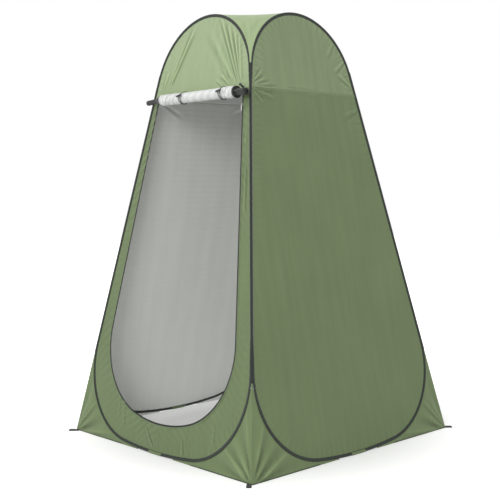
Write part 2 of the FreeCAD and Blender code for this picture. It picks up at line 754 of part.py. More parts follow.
def door_tie(name, middle, frame):
    """Band sewn on above the door's edge and brought round the roll."""
    body = new_body(f"door_tie_{name}", frame)
    start = middle - size["tie_width"] / 2
    band = new_sketch(body, "band", plane="YZ_Plane", level=start)
    circle(band, roll_height, roll_depth, roll_radius + size["tie_thickness"])
    pad(body, band, size["tie_width"])
    sewn = new_sketch(body, "sewn", plane="YZ_Plane", level=start)
    low = hem_high + size["tie_slack"]
    rectangle(sewn, low, low + size["tie_thickness"], cloth_face, roll_depth)
    pad(body, sewn, size["tie_width"])
    for name_of_cut, draw in (
        ("inside", lambda cut: circle(cut, roll_height, roll_depth, roll_radius)),
        ("hem", lambda cut: rectangle(cut, hem_low - size["tie_slack"], low, zero, roll_depth)),
    ):
        cut = new_sketch(body, name_of_cut, plane="YZ_Plane", level=start)
        draw(cut)
        pocket(body, cut, size["tie_width"])


def toggle_frame(middle, frame):
    """Frame at a toggle's middle, with X along the bar and Z straight out of the roll."""
    climb = FreeCAD.Rotation(FreeCAD.Vector(1, 0, 0), -size["toggle_climb"].number)
    skew = FreeCAD.Rotation(FreeCAD.Vector(0, 0, 1), size["toggle_skew"].number)
    out = roll_radius + size["tie_thickness"] + size["moving_gap"] + size["toggle_diameter"] / 2
    centre = shifted(frame, middle, roll_height, roll_depth, climb)
    return shifted(centre, 0, 0, out, skew)


def door_toggle(name, middle, frame):
    """Toggle bar with a waist, and the cord round the waist that holds it to the tie."""
    bar = new_body(f"toggle_bar_{name}", toggle_frame(middle, frame))
    half = size["toggle_length"] / 2
    outer, waist = size["toggle_diameter"] / 2, size["toggle_waist"] / 2
    slope = outer - waist
    near = size["toggle_waist_length"] / 2
    turned_along_x(
        bar,
        "profile",
        zero,
        zero,
        [
            (-half, zero),
            (-half, waist),
            (-half + slope, outer),
            (-near - slope, outer),
            (-near, waist),
            (near, waist),
            (near + slope, outer),
            (half - slope, outer),
            (half, waist),
            (half, zero),
        ],
    )
    cord = new_body(f"toggle_cord_{name}", toggle_frame(middle, frame))
    ring = new_sketch(cord, "ring", plane="YZ_Plane", level=-(size["toggle_cord"] / 2))
    circle(ring, zero, zero, waist + size["toggle_cord"])
    circle(ring, zero, zero, waist)
    pad(cord, ring, size["toggle_cord"])


# ---- the roof cloth ----


def roof_panel():
    """Cloth between the four crowns: a level middle and four gores that drop to the fold lines.

    A gore is swept level from one wall's half crown to the next wall's, along the corner's diagonal.
    """
    tilt = math.radians(corner_lean.number)
    lean = math.radians(size["wall_lean"].number)
    radius = hoop.offset.number + binding_outer.number - hoop_crown.number * math.sin(tilt)
    thick = size["roof_thickness"].number
    gap = size["moving_gap"].number
    centre = hoop_crown.number

    def crown_strip(finish):
        """Face between the binding's outer edge and the roof's top, from the right side round to finish."""
        low, high = (arc(0, centre, r, tilt, finish).toShape() for r in (radius, radius + thick))
        ends = [Part.makeLine(low.Vertexes[i].Point, high.Vertexes[i].Point) for i in (0, 1)]
        return Part.Face(Part.Wire(Part.__sortEdges__([low, high, *ends])))

    def level_corners(out, height, turn):
        """Corners, out from the middle, of a level square."""
        angles = [turn + math.pi / 2 * i for i in range(4)]
        return [FreeCAD.Vector(out * math.cos(a), out * math.sin(a), height) for a in angles]

    def frustum(low, high):
        """Flat-faced solid between two level squares."""
        sides = [[low[i - 1], low[i], high[i], high[i - 1]] for i in range(4)]
        faces = [Part.Face(Part.makePolygon(ring + ring[:1])) for ring in (low, high, *sides)]
        solid = Part.makeSolid(Part.makeShell(faces))
        if solid.Volume < 0:
            solid.reverse()
        return solid

    def inner_half(height):
        """Half-width at a height between the planes that lie a gap inside the walls."""
        return half_base.number - height * math.tan(lean) - gap / math.cos(lean)

    top = (centre + radius + thick) * math.cos(lean) - gap * math.sin(lean)
    under = (centre + radius) * math.cos(lean) - gap * math.sin(lean)
    inside = frustum(*(level_corners(inner_half(z) * math.sqrt(2), z, math.pi / 4) for z in (0, top + 1)))
    gores = []
    for turns in range(4):
        strip = crown_strip(math.pi / 2)
        strip.Placement = shifted(wall_frame(turns), 0, 0, -gap)
        yaw = FreeCAD.Rotation(FreeCAD.Vector(0, 0, 1), 90 * turns)
        across = yaw.multVec(FreeCAD.Vector(half_base.number, half_base.number, 0))
        gores.append(strip.extrude(across).common(inside))
    middle = frustum(*(level_corners(inner_half(z), z, 0) for z in (under, top)))
    front_edge = crown_strip(math.pi - tilt)
    front_edge.Placement = shifted(wall_frame(0), 0, 0, -gap)
    outwards = wall_frame(0).Rotation.multVec(FreeCAD.Vector(0, 0, gap + wire_depth.number))
    feature = doc.addObject("Part::Feature", "roof_panel")
    feature.Label = "roof_panel"
    feature.Shape = middle.multiFuse([*gores, front_edge.extrude(outwards)]).removeSplitter()


# ---- the whole tent ----

for turns, wall in enumerate(("front", "right", "back", "left")):
    frame = wall_frame(turns)
    hoop_wire(wall, frame)
    hoop_ferrule(wall, frame)
    hoop_sleeve(wall, frame)
    sleeve_cover(wall, frame)
    upper_panel(wall, frame)
    if wall != "front":
        lower_panel(wall, frame)
    for side in (-1, 1):
        gusset(wall, frame, side)

front = wall_frame(0)
door_surround(front)
door_zip_tape(front)
zip_slider(front)
zip_pull(front)
zip_end_tab(front)
door_roll(front)
door_roll_ends(front)
for name, middle in (
    ("left", roll_start + size["tie_left_inset"]),
    ("right", roll_finish - size["tie_right_inset"]),
):
    door_tie(name, middle, front)
    door_toggle(name, middle, front)
roof_panel()
stake_loop("stake_loop_front_left", 0, -1)
stake_loop("stake_loop_front_right", 0, 1)
stake_loop("stake_loop_back_right", 2, -1)
stake_loop("stake_loop_back_left", 2, 1)

doc.recompute()
for item in doc.Objects:
    if "Invalid" in item.State or "Error" in item.State:
        raise RuntimeError(f"{item.Name} failed: {item.getStatusString()}")

os.makedirs("parts", exist_ok=True)
kinds = ("PartDesign::Body", "Part::Cut", "Part::Feature")
for part in doc.Objects:
    if part.TypeId in kinds and not part.Label.endswith("_strip"):
        if part.Shape.isNull() or not part.Shape.isValid():
            raise RuntimeError(f"{part.Label} has no sound shape")
        part.Shape.exportStep(f"parts/{part.Label}.step")
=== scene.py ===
import math

import bpy
import numpy as np
from mathutils import Matrix, Vector


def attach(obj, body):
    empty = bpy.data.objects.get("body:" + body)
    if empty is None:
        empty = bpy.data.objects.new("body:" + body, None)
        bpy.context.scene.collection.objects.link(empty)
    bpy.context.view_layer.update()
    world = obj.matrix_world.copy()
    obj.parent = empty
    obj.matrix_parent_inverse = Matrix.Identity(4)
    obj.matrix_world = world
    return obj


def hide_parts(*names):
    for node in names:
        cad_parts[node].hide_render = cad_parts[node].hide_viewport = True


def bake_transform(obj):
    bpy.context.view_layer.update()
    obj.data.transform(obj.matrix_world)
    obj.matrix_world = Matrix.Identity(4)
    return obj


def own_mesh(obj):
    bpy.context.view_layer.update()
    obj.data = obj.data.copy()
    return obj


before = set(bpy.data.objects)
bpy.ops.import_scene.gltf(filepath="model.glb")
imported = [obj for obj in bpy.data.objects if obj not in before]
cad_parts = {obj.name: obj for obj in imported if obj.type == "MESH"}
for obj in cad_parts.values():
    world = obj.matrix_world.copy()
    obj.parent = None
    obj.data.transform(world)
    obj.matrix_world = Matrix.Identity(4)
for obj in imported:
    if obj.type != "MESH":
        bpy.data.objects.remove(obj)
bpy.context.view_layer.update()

# ---- the camera, the floor and the light ----
# A person stands at the corner between the doorway and the right-hand wall, some four and a half metres
# away, and looks at the tent from elbow height. The floor and the surroundings are plain and pale.


def put(name, data):
    """Object of a mesh, a lamp or a camera, linked to the scene at its origin."""
    thing = bpy.data.objects.new(name, data)
    bpy.context.scene.collection.objects.link(thing)
    return thing


eye_distance, eye_height = 4.389, 1.112
eye_azimuth, eye_pitch, eye_yaw, eye_roll = (math.radians(a) for a in (46.987, -3.721, 0.408, -0.878))
eye = Vector((math.sin(eye_azimuth) * eye_distance, -math.cos(eye_azimuth) * eye_distance, eye_height))

camera_data = bpy.data.cameras.new("camera")
camera_data.sensor_width = 36
camera_data.lens = 69.51
camera = put("camera", camera_data)
camera.matrix_world = (
    Matrix.Translation(eye)
    @ Matrix.Rotation(eye_azimuth + eye_yaw, 4, "Z")
    @ Matrix.Rotation(math.pi / 2 + eye_pitch, 4, "X")
    @ Matrix.Rotation(eye_roll, 4, "Z")
)
bpy.context.scene.camera = camera
bpy.context.scene.view_settings.view_transform = "Standard"


def fill(node, *inputs, **sockets):
    """Fills a node's sockets in order, or by name with _ for a space: sets a value, or links an output."""
    named = {key.replace("_", " "): value for key, value in sockets.items()}
    for key, value in [*enumerate(inputs), *named.items()]:
        if isinstance(value, bpy.types.NodeSocket):
            node.id_data.links.new(value, node.inputs[key])
        else:
            node.inputs[key].default_value = value


def add_node(tree, kind, output, *inputs, **named):
    """One output of a new shader node. Names with a capital letter are its sockets, others its settings."""
    node = tree.nodes.new(f"ShaderNode{kind}")
    for key in [key for key in named if key[0].islower()]:
        setattr(node, key, named.pop(key))
    fill(node, *inputs, **named)
    return node.outputs[output]


def new_material(name, **sockets):
    """A node material with its tree and its Principled shader, whose sockets are given."""
    material = bpy.data.materials.new(name)
    material.use_nodes = True
    shader = material.node_tree.nodes["Principled BSDF"]
    fill(shader, **sockets)
    return material, material.node_tree, shader


def seen_directly(tree):
    """1 where the camera, a reflection or a see-through surface shows it, and 0 where it only lights."""
    rays = tree.nodes.new("ShaderNodeLightPath").outputs
    seen = rays["Is Camera Ray"]
    for kind in ("Is Glossy Ray", "Is Transmission Ray"):
        seen = add_node(tree, "Math", "Value", seen, rays[kind], operation="MAXIMUM")
    return seen


world = bpy.data.worlds.new("surroundings")
bpy.context.scene.world = world
world.use_nodes = True
sky_tree = world.node_tree
sky_level = add_node(sky_tree, "Mix", "Result", Factor=seen_directly(sky_tree), A=0.54, B=1.0)
fill(sky_tree.nodes["Background"], Color=(1.0, 1.0, 1.0, 1), Strength=sky_level)

floor_mesh = bpy.data.meshes.new("floor")
reach = 14.0
floor_corners = [(-reach, -reach, 0), (reach, -reach, 0), (reach, reach, 0), (-reach, reach, 0)]
floor_mesh.from_pydata(floor_corners, [], [(0, 1, 2, 3)])
floor = put("floor", floor_mesh)
floor_finish, floor_tree, floor_shader = new_material(
    "floor",
    Base_Color=(0.80, 0.80, 0.79, 1),
    Roughness=0.9,
    Specular_IOR_Level=0.1,
    Emission_Color=(1, 1, 1, 1),
)
floor_place = add_node(floor_tree, "TexCoord", "Object")
from_middle = add_node(floor_tree, "VectorMath", "Value", floor_place, operation="LENGTH")


def floor_fade(near, far, low, high):
    """A glow that goes from low to high between two distances from the tent's middle."""
    ends = {"From_Min": near, "From_Max": far, "To_Min": low, "To_Max": high}
    return add_node(floor_tree, "MapRange", "Result", Value=from_middle, **ends)


# What is seen of the floor fades from its own shade under the tent to the plain white around it. Under
# the tent the floor also glows, unseen by the camera: painted light that brightens the tent's inside.
inside_painted_glow, seen = floor_fade(0.40, 0.58, 0.36, 0.0), floor_fade(0.45, 1.5, 0.11, 1.0)
glow = add_node(floor_tree, "Mix", "Result", Factor=seen_directly(floor_tree), A=inside_painted_glow, B=seen)
fill(floor_shader, Emission_Strength=glow)
floor_mesh.materials.append(floor_finish)

lamp_target = Vector((0, 0, 0.9))
for name, place, size_m, power in (
    ("door_light", (2.6, -5.0, 3.0), 2.0, 120),
    ("left_light", (-4.4, -2.7, 4.6), 1.4, 105),
    ("right_light", (3.1, 1.8, 4.3), 1.3, 39),
):
    lamp = bpy.data.lights.new(name, "AREA")
    lamp.size = size_m
    lamp.energy = power
    aim = (lamp_target - Vector(place)).to_track_quat("-Z", "Y")
    put(name, lamp).matrix_world = Matrix.Translation(place) @ aim.to_matrix().to_4x4()

# ---- the hoops: spring wire and ferrules ----
# Each wall is held open by one closed loop of flat-drawn spring steel wire, its ends crimped in a
# tube at the middle of the bottom. Both are hidden inside the black binding tape.

WALLS = ("front", "right", "back", "left")


def speckle(tree, scale):
    """Fine noise over a small piece, from 0 to 1."""
    return add_node(tree, "TexNoise", "Fac", Vector=add_node(tree, "TexCoord", "Object"), Scale=scale)


steel, steel_tree, steel_shader = new_material("spring_steel", Metallic=1.0, Roughness=0.38)
drawn_grain = steel_tree.nodes.new("ShaderNodeValToRGB")
drawn_grain.color_ramp.elements[0].color = (0.36, 0.36, 0.37, 1)
drawn_grain.color_ramp.elements[1].color = (0.60, 0.60, 0.61, 1)
fill(drawn_grain, speckle(steel_tree, 900))
fill(steel_shader, Base_Color=drawn_grain.outputs["Color"])


def dress(node, finish):
    """Gives a node of the model its finish in place of the plain one."""
    materials = bpy.data.objects[node].data.materials
    materials.clear()
    materials.append(finish)


for wall in WALLS:
    dress(f"hoop_wire_{wall}", steel)
    dress(f"hoop_ferrule_{wall}", steel)

# ---- the binding tape round each hoop ----
# Black polyester tape folded over the wire and the wall's edge and sewn through with one row of
# stitches. It is proud over the wire, flat beside it, and slightly puckered where the thread pulls.

half_base, crown_top, seam_height = 0.6, 1.884, 1.540
wall_lean = math.radians(10.45)
corner_lean = math.atan(math.sin(wall_lean))
wire_low, sill_radius, foot_radius = 0.003666, 2.0, 0.335
wall_gap, binding_outer = 0.0020, 0.0024
hoop_offset = half_base * math.cos(corner_lean) - wall_gap - binding_outer


def to_tent(turns, x, y, z):
    """Points of a wall's flat frame (across, up the slope, out of its inner face) in the tent's frame."""
    x, y, z = np.broadcast_arrays(x, y, z)
    depth = -half_base + y * math.sin(wall_lean) - z * math.cos(wall_lean)
    height = y * math.cos(wall_lean) + z * math.sin(wall_lean)
    c, s = (1, 0, -1, 0)[turns], (0, 1, 0, -1)[turns]
    return np.stack([c * x - s * depth, s * x + c * depth, height], axis=-1)


def arc(middle_x, middle_y, radius, angle):
    """x and y on an arc: its middle, and the radius times the angle's cosine and sine."""
    return middle_x + radius * np.cos(angle), middle_y + radius * np.sin(angle)


class Outline:
    """A hoop's or doorway's outline: sill arc, foot arcs, leaning sides and, on a hoop, a crown arc.

    Points are found by their distance along it from the middle of the sill, to the right.
    """

    def __init__(self, low, sill, foot, lean, offset, crown=None):
        self.sill, self.foot, self.lean, self.offset = sill, foot, lean, offset
        self.sill_y = low + sill
        side = offset - foot - math.sin(lean) * self.sill_y
        self.turn = lean - math.acos(side / (sill - foot))
        self.foot_x = (sill - foot) * math.cos(self.turn)
        self.foot_y = self.sill_y + (sill - foot) * math.sin(self.turn)
        self.crown = crown and (offset - crown * math.sin(lean)) / (1 - math.sin(lean))
        self.crown_y = crown and crown - self.crown
        self.side_low = self.foot_y + foot * math.sin(lean)
        top = self.crown_y + self.crown * math.sin(lean) if crown else seam_height
        self.ends = np.cumsum([
            sill * (math.pi / 2 + self.turn),
            foot * (lean - self.turn),
            (top - self.side_low) / math.cos(lean),
            self.crown * (math.pi / 2 - lean) if crown else 0.0,
        ])

    def at(self, along, grow=0.0):
        """x and y at a distance along the outline, moved outwards by grow."""
        s, ends = np.abs(along), self.ends
        up = (s - ends[1]) * math.cos(self.lean) + self.side_low + grow * math.sin(self.lean)
        parts = [
            arc(0, self.sill_y, self.sill + grow, s / self.sill - math.pi / 2),
            arc(self.foot_x, self.foot_y, self.foot + grow, self.turn + (s - ends[0]) / self.foot),
            ((self.offset + grow) / math.cos(self.lean) - up * math.tan(self.lean), up),
        ]
        if self.crown:
            parts.append(arc(0, self.crown_y, self.crown + grow, self.lean + (s - ends[2]) / self.crown))
        before = [s <= end for end in ends[: len(parts) - 1]]
        x, y = (np.select(before, values[:-1], values[-1]) for values in zip(*parts))
        return np.where(along < 0, -x, x), y

    def inset(self, x, y):
        """How far inside the outline a point is, and how far along it the nearest point is."""
        ends, ax = self.ends, np.abs(x)
        side = self.offset - ax * math.cos(self.lean) - y * math.sin(self.lean)
        sill = self.sill - np.hypot(ax, y - self.sill_y)
        sill_angle = np.arctan2(y - self.sill_y, ax) + math.pi / 2
        foot = self.foot - np.hypot(ax - self.foot_x, y - self.foot_y)
        foot_angle = np.arctan2(y - self.foot_y, ax - self.foot_x)
        foot_angle = np.where(foot_angle > math.pi / 2, foot_angle - 2 * math.pi, foot_angle) - self.turn
        in_foot = (foot_angle >= 0) & (foot_angle < self.lean - self.turn)
        zones = [
            (in_foot, foot, ends[0] + self.foot * foot_angle),
            (sill < side, sill, self.sill * sill_angle),
        ]
        if self.crown:
            crown = self.crown - np.hypot(ax, y - self.crown_y)
            crown_angle = np.arctan2(y - self.crown_y, ax) - self.lean
            zones.insert(0, (crown_angle > 0, crown, ends[2] + self.crown * crown_angle))
        tests, depth, along = zip(*zones)
        along_side = ends[1] + (y - self.side_low) / math.cos(self.lean)
        return np.select(tests, depth, side), np.sign(x) * np.select(tests, along, along_side)


hoop = Outline(wire_low, sill_radius, foot_radius, corner_lean, hoop_offset, crown_top)


def surface(name, points, finish, uv=None, loop=False, inside_out=False, more=(), pick=None, painted_fold_shading=None):
    """Object whose mesh is a grid of quads over points[row, column], with a UV map in metres.

    loop joins the last column to the first. more holds further grids, made in the same way on the same
    mesh. pick, where it is given, says from each quad's middle point which finish it takes. The last
    argument is painted fold shading: how much lighter each point is painted for standing on a ridge,
    or darker for lying in a valley.
    """
    finishes = finish if isinstance(finish, (list, tuple)) else [finish]
    corners, quads, maps, first = [], [], [], 0
    for grid in (points, *more):
        rows, columns = grid.shape[:2]
        index = first + np.arange(rows * columns).reshape(rows, columns)
        if loop:
            index = np.concatenate([index, index[:, :1]], axis=1)
        quad = np.stack([index[:-1, :-1], index[:-1, 1:], index[1:, 1:], index[1:, :-1]], axis=-1)
        quads.append(quad.reshape(-1, 4)[:, :: -1 if inside_out else 1])
        corners.append(grid.reshape(-1, 3))
        if uv is None:
            along_rows = np.linalg.norm(np.diff(grid, axis=0), axis=-1).mean(axis=1).cumsum()
            along_columns = np.linalg.norm(np.diff(grid, axis=1), axis=-1).mean(axis=0).cumsum()
            v, u = np.meshgrid(np.r_[0, along_rows], np.r_[0, along_columns], indexing="ij")
        maps.append((np.stack([u, v], axis=-1) if uv is None else uv).reshape(-1, 2))
        first += rows * columns
    corners, quads, maps = np.concatenate(corners), np.concatenate(quads), np.concatenate(maps)
    mesh = bpy.data.meshes.new(name)
    mesh.from_pydata(corners.tolist(), [], quads.tolist())
    layer = mesh.uv_layers.new(name="UVMap")
    loops = np.empty(len(mesh.loops), np.int32)
    mesh.loops.foreach_get("vertex_index", loops)
    layer.data.foreach_set("uv", maps[loops].astype(np.float32).ravel())
    if painted_fold_shading is not None:
        mesh.attributes.new("painted_fold_shading", "FLOAT", "POINT").data.foreach_set("value", painted_fold_shading.ravel())
    for item in finishes:
        mesh.materials.append(item)
    if pick is not None:
        middles = corners[quads].mean(axis=1)
        mesh.polygons.foreach_set("material_index", pick(middles).astype(np.int32))
    mesh.polygons.foreach_set("use_smooth", np.ones(len(quads), bool))
    return put(name, mesh)


def carried(turns, outline, along, profile, ripple=None):
    """Grid of a closed or open profile of (grow, z) carried along an outline on a wall.

    ripple(along) scales the profile's width inwards from its outer edge, as puckers in sewn tape do.
    """
    grow, z = np.transpose(profile)
    scale = 1 if ripple is None else ripple(along)[:, None]
    grow = grow.max() + (grow - grow.max()) * scale
    return to_tent(turns, *outline.at(along[:, None], grow), z)


def woven(
    name, colour, pitch=0.0009, contrast=0.1, rough=0.7, sheen=0.1, crumple=0.2, mottle=0.1, puckers=None
):
    """Woven cloth or tape: two crossing sets of threads on the piece's own UV, in metres.

    A thread set is a sine of the distance across it, with pitch between threads, and contrast darkens
    the gaps. Noise crumples the surface and mottles its colour. puckers is the length of small gathers.
    """
    material, tree, shader = new_material(
        name, Roughness=rough, Sheen_Weight=sheen, Sheen_Roughness=0.5, Specular_IOR_Level=0.25
    )
    place = add_node(tree, "TexCoord", "UV")
    cycle = 0.314  # a wave texture's scale times the length of one of its waves

    def waves(direction, length, distortion, detail):
        look = {"Distortion": distortion, "Detail": detail, "bands_direction": direction}
        return add_node(tree, "TexWave", "Fac", Vector=place, Scale=cycle / length, **look)

    def noise(scale, detail, place=place):
        return add_node(tree, "TexNoise", "Fac", Vector=place, Scale=scale, Detail=detail)

    def combine(operation, one, other):
        return add_node(tree, "Math", "Value", one, other, operation=operation)

    weave = combine("MULTIPLY", *(waves(direction, pitch, 0.6, 0.0) for direction in ("X", "Y")))
    streaked = add_node(tree, "Mapping", "Vector", Vector=place, Scale=(34, 2.2, 1))
    patchy = combine("ADD", noise(1.0, 2.0, streaked), noise(3.1, 3.0))
    spread = {"From_Min": 0.55, "From_Max": 1.45, "To_Min": 1 - mottle, "To_Max": 1 + mottle}
    tone = add_node(tree, "MapRange", "Result", Value=patchy, **spread)
    dark = add_node(tree, "MapRange", "Result", Value=weave, To_Min=1 + contrast / 3, To_Max=1 - contrast)
    # A mesh's fold attribute adds painted highlight on its ridges and painted shade in its valleys.
    painted_fold_light_and_shade = add_node(tree, "Attribute", "Fac", attribute_name="painted_fold_shading")
    shade = combine("MULTIPLY", combine("ADD", tone, painted_fold_light_and_shade), dark)
    multiply = {"data_type": "RGBA", "blend_type": "MULTIPLY"}
    tint = add_node(tree, "Mix", "Result", Factor=1.0, A=(*colour, 1), B=shade, **multiply)
    normal = add_node(tree, "Bump", "Normal", Height=weave, Strength=0.35, Distance=pitch * 0.3)
    relief = [(noise(42, 3.0), crumple, 0.004)]
    if puckers:
        relief.append((waves("Y", puckers, 2.0, 2.0), 0.6, 0.0008))
    for height, strength, distance in relief:
        bump = {"Height": height, "Strength": strength, "Distance": distance}
        normal = add_node(tree, "Bump", "Normal", Normal=normal, **bump)
    fill(shader, Base_Color=tint, Normal=normal)
    return material


black_tape = woven(
    "black_binding_tape", (0.030, 0.036, 0.030), 0.0011, contrast=0.3, rough=0.75, sheen=0.12,
    mottle=0.12, puckers=0.009,
)
binding_profile = [
    (-0.0108, 0.0001), (-0.0110, 0.0014), (-0.0106, 0.0026), (-0.0056, 0.0029), (-0.0028, 0.0034),
    (-0.0018, 0.0043), (-0.0004, 0.0048), (0.0010, 0.0046), (0.0020, 0.0036), (0.0024, 0.0024),
    (0.0021, 0.0011), (0.0010, 0.0002), (-0.0008, 0.0000), (-0.0040, 0.0000),
]
_, side_from, side_to, half_round = hoop.ends
tape_along = np.linspace(-half_round, half_round, 901)[:-1]


def tape_ripple(along, tight_side):
    """Width of the tape along a hoop: two sines of unlike length, as its thread pulls it in.

    Along the straight sides, where two hoops are sewn together, it is folded tighter, most of all at
    the corner beside the zip.
    """
    s = np.abs(along)
    tight = np.where(np.sign(along) == tight_side, 0.64, 0.16)
    tight = tight * np.clip((s - side_from + 0.15) / 0.3, 0, 1) * np.clip((side_to + 0.12 - s) / 0.2, 0, 1)
    thread = 0.030 * np.sin(along * 2 * math.pi / 0.021) + 0.022 * np.sin(along * 2 * math.pi / 0.037)
    return 1 - tight + thread


for turns, wall in enumerate(WALLS):
    tight_side = {"front": 1, "right": -1}.get(wall, 0)
    ring = carried(turns, hoop, tape_along, binding_profile, lambda s: tape_ripple(s, tight_side))
    ring = np.concatenate([ring, ring[:1]])
    tape = surface(f"binding_{wall}", ring, black_tape, loop=True, inside_out=True)
    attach(tape, f"{wall}_wall")
    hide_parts(f"hoop_sleeve_{wall}")

# ---- the patches over the wire's joints ----
# A short piece of the wall's own green cloth, folded up over the tape at the middle of the bottom
# of each wall and sewn down inside and outside, keeps the ferrule from wearing through.

green_cloth = woven("green_cloth", (0.150, 0.203, 0.095), rough=0.55, sheen=0.08, crumple=0.22)
patch_profile = [
    (-0.0088, 0.0030), (-0.0070, 0.0034), (-0.0040, 0.0037), (-0.0026, 0.0044), (-0.0012, 0.0053),
    (0.0008, 0.0054), (0.0024, 0.0042), (0.0030, 0.0026), (0.0028, 0.0008), (0.0016, -0.0004),
    (-0.0006, -0.0007), (-0.0040, -0.0007), (-0.0070, -0.0006), (-0.0088, -0.0004),
]
patch_length, patch_width = 0.085, 0.030
patch_along = np.linspace(-patch_length / 2, patch_length / 2, 41)
patch_flare = 1 + 0.05 * (2 * np.abs(patch_along) / patch_length) ** 6


def thicken(piece, thickness, offset=0.0, lining=0):
    """Gives a sheet its real thickness: to both sides or, at offset -1, inwards, where it may be lined."""
    solid = piece.modifiers.new("thickness", "SOLIDIFY")
    solid.thickness, solid.offset, solid.material_offset = thickness, offset, lining


for turns, wall in enumerate(WALLS):
    patch_grid = carried(turns, hoop, patch_along, patch_profile, lambda s: patch_flare)
    patch = surface(f"joint_patch_{wall}", patch_grid, green_cloth)
    thicken(patch, 0.0005)
    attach(patch, f"{wall}_wall")
    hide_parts(f"sleeve_cover_{wall}")

# ---- the walls' cloth ----
# Polyester cloth, silver-coated inside, cut flat and sewn to the hoop all round. The bent wire pulls
# it tight, so it lies nearly flat, with small gathers along the tape and drawn folds at hard points.

silver_cloth = woven(
    "silver_lining", (0.72, 0.73, 0.705), contrast=0.08, rough=0.55, sheen=0.05, mottle=0.03, puckers=0.026
)
# Lighter copies of the green cloth, as painted light: the upper cloth for light through it, and the front's
# upper cloth and the roof's lighter still, for light from the front and from above.
front_painted_light_cloth = woven("green_cloth_front_painted_light", (0.302, 0.388, 0.208), rough=0.5, mottle=0.07)
roof_painted_light_green = woven("green_cloth_roof_painted_light", (0.370, 0.470, 0.258), contrast=0.05, rough=0.5, crumple=0.24)
upper_painted_light_cloth = woven(
    "green_cloth_upper_painted_light", (0.208, 0.270, 0.142), rough=0.55, sheen=0.08, crumple=0.22, mottle=0.12
)
cloth_face, cloth_thickness = 0.0017, 0.0009


def smooth_step(value, low, high):
    """0 below low, 1 above high and a smooth rise between them."""
    t = np.clip((value - low) / (high - low), 0, 1)
    return t * t * (3 - 2 * t)


def bell(distance, width):
    """1 at no distance, falling off smoothly on both sides of it."""
    return np.exp(-((distance / width) ** 2))


def drawn_fold(x, y, x0, y0, x1, y1, width, height):
    """A fold between two points: a bell across it, a shallow trough on one side, fading at both ends."""
    length = math.hypot(x1 - x0, y1 - y0)
    ux, uy = (x1 - x0) / length, (y1 - y0) / length
    t = ((x - x0) * ux + (y - y0) * uy) / length
    across = (x - x0) * -uy + (y - y0) * ux
    spread = width * (0.35 + 0.65 * np.clip(t, 0, 1))
    shape = bell(across, spread) - 0.6 * bell(across - 1.7 * spread, spread)
    fade = smooth_step(t, -0.03, 0.12) * (1 - smooth_step(t, 0.70, 1.05))
    return height * shape * fade


# Each fold's start and end across and up its wall, its width and its height.
WALL_FOLDS = {
    "front": [
        (0.243, 1.566, 0.086, 1.87, 0.01, 0.0062), (0.252, 1.566, 0.138, 1.83, 0.01, 0.0055),
        (0.257, 1.572, 0.18, 1.805, 0.009, 0.005), (0.262, 1.57, 0.214, 1.77, 0.008, 0.004),
        (0.205, 1.585, 0.07, 1.775, 0.02, 0.0042), (0.15, 1.558, 0.105, 1.59, 0.006, 0.003),
        (0.19, 1.56, 0.13, 1.612, 0.007, 0.003), (0.17, 1.6, 0.02, 1.83, 0.024, 0.003),
        (-0.21, 1.59, -0.08, 1.84, 0.011, 0.0068), (-0.262, 1.575, -0.232, 1.66, 0.01, 0.003),
        (-0.255, 0.2, -0.245, 0.06, 0.007, 0.003), (-0.085, 0.105, -0.022, 0.015, 0.007, 0.0034),
        (-0.3, 0.23, -0.29, 0.1, 0.008, 0.0026), (0.346, 0.19, 0.35, 0.085, 0.006, 0.0026),
        (0.16, 0.095, 0.175, 0.02, 0.007, 0.0024), (0.375, 1.3, 0.395, 1.08, 0.01, 0.0034),
        (0.352, 1.22, 0.372, 1.02, 0.007, 0.0028), (0.405, 1.14, 0.42, 0.9, 0.009, 0.0026),
        (0.345, 1.42, 0.33, 1.3, 0.008, 0.0026),
    ],
    "right": [
        (-0.318, 1.552, -0.235, 1.582, 0.007, 0.0036), (-0.318, 1.55, -0.205, 1.562, 0.007, 0.0038),
        (-0.316, 1.545, -0.16, 1.541, 0.008, 0.0036), (-0.316, 1.54, -0.195, 1.504, 0.008, 0.0042),
        (-0.316, 1.533, -0.26, 1.48, 0.008, 0.0036), (-0.3, 1.57, -0.24, 1.62, 0.007, 0.0026),
        (-0.12, 1.545, 0.09, 1.53, 0.01, 0.0016), (0.285, 1.7, 0.19, 1.64, 0.012, 0.0034),
        (0.3, 1.575, 0.215, 1.64, 0.012, 0.003), (0.33, 1.48, 0.2, 1.44, 0.016, 0.0026),
        (0.24, 1.8, 0.15, 1.7, 0.014, 0.0026),
    ],
    "back": [
        (-0.29, 1.55, -0.12, 1.64, 0.014, 0.004), (0.29, 1.545, 0.15, 1.47, 0.012, 0.0036),
        (0.255, 1.62, 0.12, 1.8, 0.014, 0.0044), (-0.18, 1.7, -0.08, 1.83, 0.014, 0.003),
    ],
    "left": [
        (0.295, 1.545, 0.13, 1.62, 0.012, 0.004), (0.295, 1.54, 0.14, 1.47, 0.012, 0.0036),
        (-0.24, 1.6, -0.11, 1.79, 0.014, 0.004), (-0.29, 1.54, -0.15, 1.49, 0.012, 0.0028),
    ],
}


